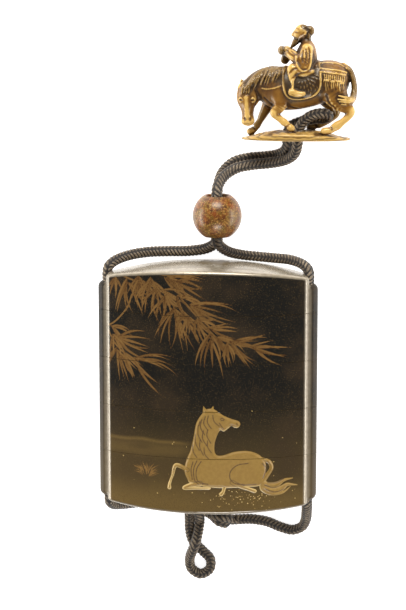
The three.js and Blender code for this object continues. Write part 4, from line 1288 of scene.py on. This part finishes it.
# Each hoof: its middle, the way that it points, in degrees, and how long it is drawn out.
HOOVES = [
    ((-1.6, 4.6, 4.5), -50, 1), ((-13.8, 2.9, -3.7), -150, 1.1), ((9.9, 3.6, 4.3), -168, 1.7),
    ((5, 4.3, -4.3), -165, 1.4),
]
TAIL = [
    (14.4, 23.3, 0, 1.2, 1.3), (16.3, 22, 0.3, 1.05, 1.5), (17.6, 19.4, 0.6, 0.85, 1.5),
    (18.05, 16.4, 1.1, 0.85, 1.4),
    (17.7, 14, 2.4, 1, 1.2),
]
TAIL_TIP = [
    [
        (17.9, 14.8, 2.4, 0.8, 0.9), (17.2, 13.9, 4.4, 0.65, 0.8), (15.6, 14.1, 5.9, 0.4, 0.5),
        (13.3, 14.7, 6.3, 0.2, 0.25),
    ],
    [
        (18, 14.2, 2.2, 0.8, 0.9), (17.2, 13.2, 4.4, 0.62, 0.8), (15.4, 13.3, 6, 0.38, 0.5),
        (13, 13.6, 6.3, 0.2, 0.25),
    ],
    [
        (18, 13.7, 2.1, 0.8, 0.9), (17.1, 12.7, 4.3, 0.6, 0.7), (15.6, 12.7, 5.8, 0.36, 0.45),
        (13.5, 12.8, 6.1, 0.18, 0.2),
    ],
    [
        (17.8, 13.2, 2, 0.8, 0.9), (17, 12.1, 4.1, 0.55, 0.7), (15.8, 12, 5.4, 0.34, 0.4),
        (14.2, 12, 5.8, 0.18, 0.2),
    ],
]
RIDER_BODY = [
    (2.6, 20.6, 0, 4.3, 4.6), (2.8, 24.6, 0, 3.8, 3.9), (3.2, 28, 0, 2.9, 3.5), (3.2, 29.8, 0, 2, 2.5),
    (2.8, 31.4, 0.1, 1.35, 1.4), (2.3, 32.6, 0.2, 1.3, 1.3),
]
CLOTH = [
    (-3.7, 24), (-3.9, 19.9), (-3.4, 16.3), (-2.2, 14.1), (0.4, 13.4), (3.9, 13.9), (6.5, 15.3), (7.7, 17.8),
    (7.6, 21.8), (6.9, 25.6), (2, 28),
]


def arm(side):
    return [
        (3.4, 28.9, side * 2.7, 1.7, 1.5), (2.4, 26, side * 3.9, 1.8, 1.4), (0.6, 25.6, side * 3.8, 1.7, 1.4),
        (-1.5, 27, side * 2.6, 1.5, 1.3), (-3, 27.8, side * 1.4, 1.25, 1.2),
    ]


def sleeve(side):
    """The sleeve hangs from the arm as a deep flat bag."""
    return [
        (3.5, 28.6, side * 3, 1.6, 1.3), (3, 26.2, side * 4.3, 2.1, 1.1), (2.5, 24.2, side * 4.9, 2.2, 1),
        (2.4, 23.2, side * 5.2, 1.9, 0.9),
    ]


def rider_leg(side):
    return [
        (2.8, 22, side * 3.8, 2.4, 1.9), (-0.4, 22.2, side * 5, 2.1, 1.6), (-1, 20, side * 5.6, 1.1, 1),
        (-0.8, 17.8, side * 5.9, 0.5, 0.6), (-0.9, 16.4, side * 6.1, 0.7, 0.75),
    ]


def robe_skirt(side):
    """The skirt of the robe, drawn up over the thigh."""
    return [
        (5, 21.6, side * 4.4, 1.3, 1.3), (2.4, 21.2, side * 5.1, 1.3, 1.2), (-1.2, 22.6, side * 5, 1.5, 1.4),
    ]


def shoe(side):
    return [
        (-1.2, 15.7, side * 6.3, 1.15, 0.95), (0.9, 15.1, side * 6.4, 1, 0.95),
        (2.6, 15.2, side * 6.4, 0.65, 0.7),
    ]


def hair(count, depth):
    """The relief of strands that run along a limb."""
    def relief(angle, along):
        return depth * np.abs(np.sin(angle * count / 2 + 5 * along)) - depth / 2

    return relief


def mound(u, w):
    """The height of the base's top, which falls off to its rim."""
    far = np.sqrt((u / (BASE_LENGTH / 2)) ** 2 + (0.6 * w / (BASE_DEPTH / 2)) ** 2)
    return 3.35 - 2.2 * smoothstep(0.3, 1.05, far)


def base_plate(field):
    """The oval base: flat below and thin at its edge, and a low uneven mound on top, like trodden ground."""
    u, v, w = AXIS_U[:, None, None], AXIS_V[None, :, None], AXIS_W[None, None, :]
    half_u, half_w = BASE_LENGTH / 2, BASE_DEPTH / 2
    share = np.sqrt((u / half_u) ** 2 + (w / half_w) ** 2)
    reach = np.sqrt((u / half_u**2) ** 2 + (w / half_w**2) ** 2)
    edge = share * (share - 1) / np.maximum(reach, 1e-6)
    ground = 0.13 * np.sin(0.9 * u + 0.7 * w) + 0.1 * np.sin(2.3 * u - 1.7 * w + 1)
    ground = ground + 0.07 * np.sin(0.8 * u + 4.1 * w)
    top = mound(u, w) + ground * (1 - 0.5 * share)
    own = -smaller(-edge, -np.maximum(v - top, BASE_FOOT - v), 0.6)
    field[...] = smaller(field, own, 0.35)
    angle, thick = np.linspace(-1.2, 1.2, 9), np.full((9, 2), 0.16)
    for n in range(9):
        far = 0.25 + 0.08 * n
        bow_u, bow_w = half_u * far * np.sin(angle), half_w * far * np.cos(angle)
        groove = np.column_stack([bow_u, mound(bow_u, bow_w) + 0.05, bow_w, thick])
        carve(field, *limb(groove, 2, margin=0.5), 0.2)


def horse(field):
    """The horse stands with its head low. Its mouth, nostrils and the creases of its hide are cut in."""
    union(field, *limb(BARREL), 0.5)
    union(field, *limb(NECK), 1.6)
    for side in (1, -1):
        union(field, *egg((-4.6, 14.8, 2.6 * side), (3.3, 3.6, 2.9)), 1.2)
    for leg in (NEAR_FORELEG, FAR_FORELEG, NEAR_HIND_LEG, FAR_HIND_LEG):
        union(field, *limb(leg), 1.0)
    union(field, *limb(HEAD), 1.0)
    union(field, *egg((-13.1, 14, 1.7), (1.7, 2.7, 1.9), 8), 1.0)
    union(field, *egg((-17, 13.2, 1.1), (1.2, 2.1, 1.6), 8), 1.0)
    cheek = [(-15.3, 13.6, 3.5, 0.7, 0.6), (-15.1, 10.6, 3.6, 0.6, 0.6), (-14.9, 7.8, 3.7, 0.7, 0.6)]
    union(field, *limb(cheek), 0.9)
    union(field, *egg((-14.8, 6.1, 2.7), (1.95, 1.2, 1.6)), 0.7)
    union(field, *limb(TAIL, 4, hair(14, 0.3)), 0.5)
    for tip in TAIL_TIP:
        union(field, *limb(tip), 0.15)
    for u, w, lean in ((-14.3, 2.1, 0.7), (-16.7, 0.4, -0.4)):
        middle, tip = (u + lean * 0.4, 18.2, w + 0.1, 0.65, 0.5), (u + lean, 19.2, w, 0.2, 0.2)
        ear = [(u, 17, w, 0.8, 0.6), middle, tip]
        union(field, *limb(ear), 0.5)
        hollow = [(u + lean * 0.1, 17.5, w + 0.75, 0.3, 0.3), (u + lean * 0.7, 18.6, w + 0.6, 0.2, 0.25)]
        carve(field, *limb(hollow, margin=0.5), 0.25)
    for u in (-17, -13.3):
        v = 12.9
        stroke(field, [(u - 0.75, v + 0.05, 0.4), (u, v + 0.6, 1), (u + 0.75, v, 0.4)], 0.6, soft=0.2)
        stroke(field, [(u - 0.65, v - 0.3, 0.4), (u, v - 0.6, 1), (u + 0.65, v - 0.35, 0.4)], 0.4, soft=0.2)
        slit = [(u - 0.65, v - 0.02, 0.4), (u, v + 0.12, 1), (u + 0.65, v - 0.05, 0.4)]
        stroke(field, slit, 0.42, cut=True, soft=0.1)
    for u in (-15.7, -13.95):
        stroke(field, [(u, 7.3, 1), (u + 0.05, 6.6, 0.8)], 0.6, cut=True, soft=0.25)
    stroke(field, [(-16.4, 5.8, 0.7), (-14.9, 5.4, 1), (-13.3, 5.8, 0.7)], 0.34, cut=True, soft=0.2)
    stroke(field, [(-12.3, 15.8, 0.5), (-11.7, 13.6, 1), (-12.6, 11.2, 0.5)], 0.5, cut=True, soft=0.6)
    for path in (
        [(-9.6, 13.6, 0.3), (-8, 11.9, 1), (-6.8, 11.4, 0.3)],
        [(-2.4, 12, 0.3), (-1.6, 10.8, 1), (1.6, 10.2, 0.3)],
    ):
        stroke(field, path, 0.5, cut=True, soft=0.7)
    both_sides(field, [(9.6, 14.8, 0.3), (10.2, 12.4, 1), (12.2, 10.6, 0.4)], 0.5, cut=True, soft=0.8)


def hooves(field):
    """Each hoof flares out to its flat sole, and a groove parts it from the leg."""
    for (u, v, w), faces, long in HOOVES:
        c, s = long * math.cos(math.radians(faces)), long * math.sin(math.radians(faces))
        crown, sole = (u - 0.9 * c, v - 0.9 * s, w, 0.85, 0.9), (u + 0.5 * c, v + 0.5 * s, w, 1.25, 1.25)
        union(field, *limb([crown, (u, v, w, 1.15, 1.15), sole]), 0.25)
        angle, wide = np.linspace(0, 2 * np.pi, 13), 1.15
        groove_u = u - 0.95 * c - wide * s / long * np.cos(angle)
        groove_v = v - 0.95 * s + wide * c / long * np.cos(angle)
        groove = np.column_stack([groove_u, groove_v, w + wide * np.sin(angle), np.full((13, 2), 0.2)])
        carve(field, *limb(groove, 1, margin=0.6), 0.25)


def mane(field):
    """Locks fall from the crest down both sides of the neck, and over the forehead."""
    rng = np.random.default_rng(7)
    crest = between([(-15.2, 18.4), (-13.2, 20.8), (-11, 22.4), (-8.2, 23.3), (-5.6, 23.1), (-3.6, 22.8)], 6)
    for side in (1, -1):
        for n, (u, v) in enumerate(crest):
            drop = (2.2 + 3.4 * math.sin(math.pi * n / (len(crest) - 1)) ** 0.7) * rng.uniform(0.75, 1.15)
            swing = rng.uniform(-0.3, 0.3)
            path = [
                (u + 0.3, v - 0.2, 0.8), (u + 0.1, v - 0.35 * drop, 1),
                (u - 0.4 + swing, v - 0.7 * drop, 0.9),
                (u - 0.9 + swing, v - drop, 0.3),
            ]
            stroke(field, path, 0.6, side, height=0.42, soft=0.1)
    for n in range(4):
        u = -16.7 + 0.7 * n
        end = 14.6 + 0.3 * (n % 2)
        path = [(u + 0.5, 17.6, 0.7), (u + 0.2, 16.6, 1), (u + 0.1, 15.6, 0.9), (u - 0.1, end, 0.3)]
        stroke(field, path, 0.62, 1, height=0.42, soft=0.12)


TUFT_BEND = 0.15


def saddle(field, body, cloth):
    """The cloth lies on the body with a corded rim. Inside the rim it is long-haired."""
    sheet = -smaller(-(body - 0.3), -np.broadcast_to(cloth[:, :, None], body.shape), 0.25)
    field[...] = smaller(field, sheet, 0.12)
    rng = np.random.default_rng(11)
    rows = [(far, turn) for far in np.arange(2.6, 9.6, 1.3) for turn in np.arange(-110, 45, 62 / far)]
    for side in (1, -1):
        for row, slot in rows:
            turn = math.radians(slot + rng.uniform(-2, 2))
            far = row + rng.uniform(-0.15, 0.15)
            u, v = 2 + far * math.cos(turn) * 0.8, 21.2 + far * math.sin(turn) * 0.95
            long = rng.uniform(0.9, 1.25)
            du, dv = long * math.cos(turn - 0.35), long * math.sin(turn - 0.35)
            i = int(np.clip((u + du - FIELD_LOW[0]) / GRAIN, 0, FIELD_SHAPE[0] - 1))
            j = int(np.clip((v + dv - FIELD_LOW[1]) / GRAIN, 0, FIELD_SHAPE[1] - 1))
            if cloth[i, j] < -0.6:
                path = [(u, v, 0.5), (u + du / 2 + TUFT_BEND, v + dv / 2, 1), (u + du, v + dv, 0.3)]
                stroke(field, path, 0.36, side, soft=0.04, sink=-0.08)
    both_sides(field, CLOTH[:9], 0.66, soft=0.1, sink=-0.08)


def harness(field):
    """Twisted straps over the rump, tassels that hang from them, and a strap across the chest."""
    for path in (
        [(7.4, 24.4), (10, 24.6), (13, 24.2), (15.6, 22.8)],
        [(7.6, 22.9), (10.4, 22.6), (13, 22.3), (15.6, 21.6)],
        [(7.6, 21.9), (10.4, 21.5), (13, 21.2), (15.4, 20.8)],
    ):
        both_sides(field, path, 0.5, soft=0.1)
    for n in range(16):
        u = 7.9 + n * 0.5
        v = 22.4 - 0.005 * (u - 7.6) ** 2 - 0.1 * (u - 7.6)
        both_sides(field, [(u, v - 0.25), (u + 0.25, v + 0.3)], 0.34, soft=0.08)
    for n in range(11):
        u = 8.8 + 0.6 * n
        top = 21.2 - 0.1 * (u - 8.7)
        low = top - 3.6 - 1.6 * abs(math.sin(0.95 * n + 0.4))
        middle = (top + low) / 2
        strand = [(u, top, 0.7), (u + 0.22, top - 1.3, 1), (u - 0.12, middle, 1), (u + 0.14, low, 0.3)]
        both_sides(field, strand, 0.5, soft=0.05, sink=-0.06)
        end = (u + 0.42, low + 0.4, 0.5)
        groove = [(u + 0.3, top, 0.7), (u + 0.52, top - 1.3, 1), (u + 0.18, middle, 1), end]
        both_sides(field, groove, 0.24, cut=True, soft=0.05)
    for u, v in ((9.5, 19.3), (11.3, 19), (13.1, 19), (14.4, 18.4)):
        both_sides(field, [(u - 0.45, v), (u + 0.45, v)], 0.5, soft=0.08, sink=-0.1)
    both_sides(field, [(-4, 17.6), (-6.4, 16.8), (-8.8, 16.4), (-10.4, 16.6)], 0.4, soft=0.1)


def rider(field):
    """The groom sits astride with both hands before the chest, in a robe with deep sleeves."""
    robe = np.full(field.shape, FAR, np.float32)
    union(robe, *limb(RIDER_BODY), 0.5)
    for side in (-1, 1):
        union(robe, *limb(rider_leg(side)), 0.7)
        union(robe, *limb(arm(side)), 0.6)
        union(robe, *limb(sleeve(side)), 0.5)
        union(robe, *limb(robe_skirt(side)), 0.4)
    field[...] = smaller(field, robe, 0.2)
    for side in (-1, 1):
        union(field, *limb(shoe(side)), 0.25)
        union(field, *egg((-2.9, 28.3, side * 1.4), (1.7, 1.2, 1.3), -12), 0.3)
        for n in range(4):
            u = -4.4 + 0.45 * n
            stroke(field, [(u, 29, 0.8), (u - 0.15, 28.2, 1), (u + 0.05, 27.4, 0.5)], 0.42, side, soft=0.12)
    folds = [
        [(3.9, 29.4, 0.3), (4.3, 27, 1), (4, 24.6, 0.3)],
        [(3.1, 28.6, 0.3), (3.3, 26.6, 1), (3, 24.8, 0.3)],
        [(2.2, 28.2, 0.3), (2, 26.9, 1), (2.1, 25, 0.3)],
        [(5.5, 27, 0.3), (5.7, 24.6, 1), (5.3, 22.6, 0.3)],
        [(0.8, 22.9, 0.3), (-0.8, 22.6, 1), (-2, 21.2, 0.3)],
        [(2.6, 21.7, 0.3), (0.4, 21, 1), (-1.2, 19.6, 0.3)],
        [(-0.6, 26.6, 0.3), (-1.9, 27.4, 1), (-2.7, 28.2, 0.3)],
        [(0.4, 27, 0.3), (-0.4, 27.4, 1), (-1.6, 28.2, 0.3)],
    ]
    for path in folds:
        both_sides(field, path, 0.42, cut=True, soft=0.45)
    hem = [(0.1, 26.6), (0.3, 24.4), (1, 22.9), (2.5, 22), (4.1, 22.8), (4.7, 25), (4.6, 27.2)]
    both_sides(field, hem, 0.55, soft=0.12)
    for u, v in ((3.2, 27.4), (2.5, 25.6), (4, 25.4), (3.2, 24.2)):
        ring = [(u + 0.38 * math.cos(t), v + 0.38 * math.sin(t)) for t in np.linspace(0, 4.6, 6)]
        both_sides(field, ring, 0.26, cut=True, soft=0.1)
    both_sides(field, [(1.3, 31.2), (0.6, 29.8), (0.4, 28.4)], 0.45, soft=0.15)
    both_sides(field, [(-0.9, 19.6), (-0.75, 18), (-0.8, 16.6)], 0.5, soft=0.15)
    for v in (16.5, 16.05):
        both_sides(field, [(-1.9, v), (-0.8, v - 0.1), (0.3, v - 0.05)], 0.4, soft=0.1)
    both_sides(field, [(-1.9, 14.95), (0.6, 14.6), (2.6, 15)], 0.3, cut=True, soft=0.1)
    union(field, *egg((-4.6, 28.2, 0), (1.3, 1.5, 2.9)), 0.25)
    far_cuff = [(-1.4, 27.4, -2, 1.3, 1.2), (-3.2, 26, -2.6, 1.5, 1), (-3.9, 24.6, -2.8, 1.2, 0.8)]
    union(field, *limb(far_cuff), 0.4)


def groom_head(field):
    """A calm, bearded head, bent a little forward, with its hair drawn up into a knot."""
    union(field, *egg((1.7, 34, 0.2), (2.35, 2.3, 2), 10), 0.5)
    union(field, *egg((0.6, 33, 0.2), (1.75, 1.9, 1.65), 15), 0.6)
    union(field, *egg((4.1, 34.3, 0.1), (1.4, 1.6, 1.45), 20), 0.35)
    union(field, *limb([(-0.9, 33.7, 0.2, 0.38, 0.32), (-1.35, 32.9, 0.2, 0.44, 0.4)]), 0.4)
    beard = [
        (0.5, 31.8, 0.2, 1.2, 1.25), (-0.4, 30.7, 0.3, 0.95, 0.9), (-1.2, 29.6, 0.3, 0.55, 0.5),
        (-1.6, 28.9, 0.3, 0.2, 0.2),
    ]
    union(field, *limb(beard, 4, hair(12, 0.22)), 0.4)
    nape = [(3.6, 33.2, 0.1, 1, 1.5), (3.5, 31.8, 0.1, 0.8, 1.4), (3.2, 30.9, 0.1, 0.5, 1.1)]
    union(field, *limb(nape, 4, hair(14, 0.2)), 0.3)
    both_sides(field, [(-0.8, 34.3, 0.5), (-0.1, 34.5, 1), (0.6, 34.2, 0.5)], 0.44, soft=0.2)
    both_sides(field, [(-0.7, 33.75, 0.4), (-0.15, 33.8, 1), (0.4, 33.6, 0.4)], 0.34, cut=True, soft=0.12)
    both_sides(field, [(-1, 32.15, 0.6), (-0.4, 32.1, 1), (0.1, 31.9, 0.4)], 0.32, cut=True, soft=0.12)
    ear = [(2.1, 34.2, 0.6), (2.6, 34.5, 1), (2.85, 33.9, 1), (2.5, 33.2, 0.8), (2.2, 33, 0.5)]
    both_sides(field, ear, 0.44, soft=0.12)
    for n in range(7):
        u = 1.3 + 0.5 * n
        lock = [(u - 0.1, 36 - 0.05 * n * n, 0.4), (u + 0.5, 35.2 - 0.03 * n * n, 1), (3.7, 34.4, 0.4)]
        both_sides(field, lock, 0.3, cut=True, soft=0.12)
    for n in range(4):
        lock = [(3 + 0.2 * n, 33.2 - 0.35 * n, 0.4), (3.3, 33.6 - 0.2 * n, 1), (3.7, 34, 0.4)]
        both_sides(field, lock, 0.28, cut=True, soft=0.12)


def dark_hair_and_far_shade(places):
    """Where the toggle is stained the darkest: the mane, the tail, the beard and the hair. The far legs are
    darkened too, which is painted shade.
    """
    u, v, w = places.T
    crest = np.interp(u, [-16, -13.2, -8.2, -3.8, 2], [18.4, 20.8, 23.3, 22.8, 22.6])
    neck = smoothstep(5.6, 3, crest - v) * smoothstep(-17.4, -16, u) * smoothstep(-2, -4.2, u)
    scalp = smoothstep(1.7, 2.7, u + 0.35 * (v - 33.7)) * smoothstep(30.8, 31.6, v)
    scalp = scalp * smoothstep(0.5, 1.0, np.hypot(u - 2.5, v - 33.7))
    beard = smoothstep(32.6, 31.8, v + 0.3 * u) * smoothstep(28.4, 29, v) * smoothstep(2, 1.4, u)
    beard = beard * smoothstep(1.9, 1.5, np.abs(w - 0.2)) * smoothstep(-2.6, -2.2, u)
    tail = smoothstep(15.6, 16.6, u) * smoothstep(13.4, 14.6, v) * 0.9
    # Painted shade: the far legs, which lie behind, are darker.
    far_legs_shade = smoothstep(-1.6, -2.6, w) * smoothstep(12, 9, v) * smoothstep(3, 3.6, v) * 0.75
    return np.clip(np.maximum.reduce([0.85 * neck, scalp, beard, tail, far_legs_shade]), 0, 1)


def largest_part(count, faces):
    """Which vertices belong to the largest connected part. Each vertex takes the lowest label of its faces,
    and then the label that this label's own vertex has, until nothing changes."""
    label = np.arange(count)
    while True:
        lowest = label.copy()
        np.minimum.at(lowest, faces.ravel(), np.repeat(label[faces].min(axis=1), faces.shape[1]))
        lowest = lowest[lowest]
        if np.array_equal(lowest, label):
            return label == np.bincount(label).argmax()
        label = lowest


def carved_toggle():
    """The field as a mesh, with how deep each place lies in a cut or in painted shade, how much wear and
    painted highlight lighten it, and how dark it is, by stain and by painted shade on the far legs.
    """
    field = np.full(FIELD_SHAPE, FAR, np.float32)
    horse(field)
    body = field.copy()
    cloth = outline_distance(CLOTH)
    mane(field)
    saddle(field, body, cloth)
    harness(field)
    rider(field)
    groom_head(field)
    hooves(field)
    bare = field.copy()
    base_plate(field)
    for u, w in (HOLE_A, HOLE_B):
        hole = [(u, v, w, CORD_HOLE / 2, CORD_HOLE / 2) for v in (-2, 5)]
        carve(field, *limb(hole), 0.15)
    grid = openvdb.FloatGrid(FAR)
    grid.copyFromArray(np.ascontiguousarray(field))
    grid.transform = openvdb.createLinearTransform(voxelSize=GRAIN)
    points, triangles, quads = grid.convertToPolygons(isovalue=0.0, adaptivity=0.0)
    corners_of = np.vstack([quads, triangles[:, [0, 1, 2, 2]]]).astype(np.int64)
    kept = largest_part(len(points), corners_of)
    number = np.cumsum(kept) - 1
    quads, triangles = number[quads[kept[quads[:, 0]]]], number[triangles[kept[triangles[:, 0]]]]
    places = points[kept] + FIELD_LOW
    near = sampled(blurred(np.clip(field, -1.5, 1.5), 0.4), places)
    wide = sampled(blurred(np.clip(field / 1.5, -1, 1), 1.8), places)
    # near finds the fine cuts, which are stained; wide darkens what lies under and between the forms, which
    # is painted shade.
    cut = smoothstep(0.035, -0.07, near) * 0.8 + smoothstep(0.22, -0.12, wide) * 0.62
    u, v, w = places.T
    ground = smoothstep(3.5, 3.1, v) * smoothstep(0.02, 0.2, sampled(bare, places))
    layers = smoothstep(-0.1, 0.8, np.sin(6.5 * v + 1.9 * w + 0.8 * np.sin(0.55 * u) + 0.5 * np.sin(1.7 * u)))
    cut = np.maximum(cut, ground * (0.15 + 0.5 * layers))
    # Lighter on what stands out, from wear and painted highlight, and pale on the base.
    worn = np.maximum(smoothstep(0.03, 0.1, near), ground * (0.75 - 0.5 * layers))
    inside = smoothstep(0.1, -0.5, sampled(np.repeat(cloth[:, :, None], FIELD_SHAPE[2], axis=2), places))
    off = sampled(body, places)
    close = smoothstep(-0.2, 0.12, off) * smoothstep(0.95, 0.65, off)
    covered = inside * smoothstep(3, 4.4, np.abs(w)) * close
    dark = np.maximum(dark_hair_and_far_shade(places), 0.9 * covered)
    spots = toggle_to_row(places)
    spots[:, 2] = np.maximum(spots[:, 2], 0)
    faces = [tuple(f) for f in triangles.tolist()] + [tuple(f) for f in quads.tolist()]
    made = piece("carved_toggle", spots, faces, CARVING, cut=np.clip(cut, 0, 1), worn=worn, dark=dark)
    finish_piece(made, "toggle")
    return made


carved_toggle()
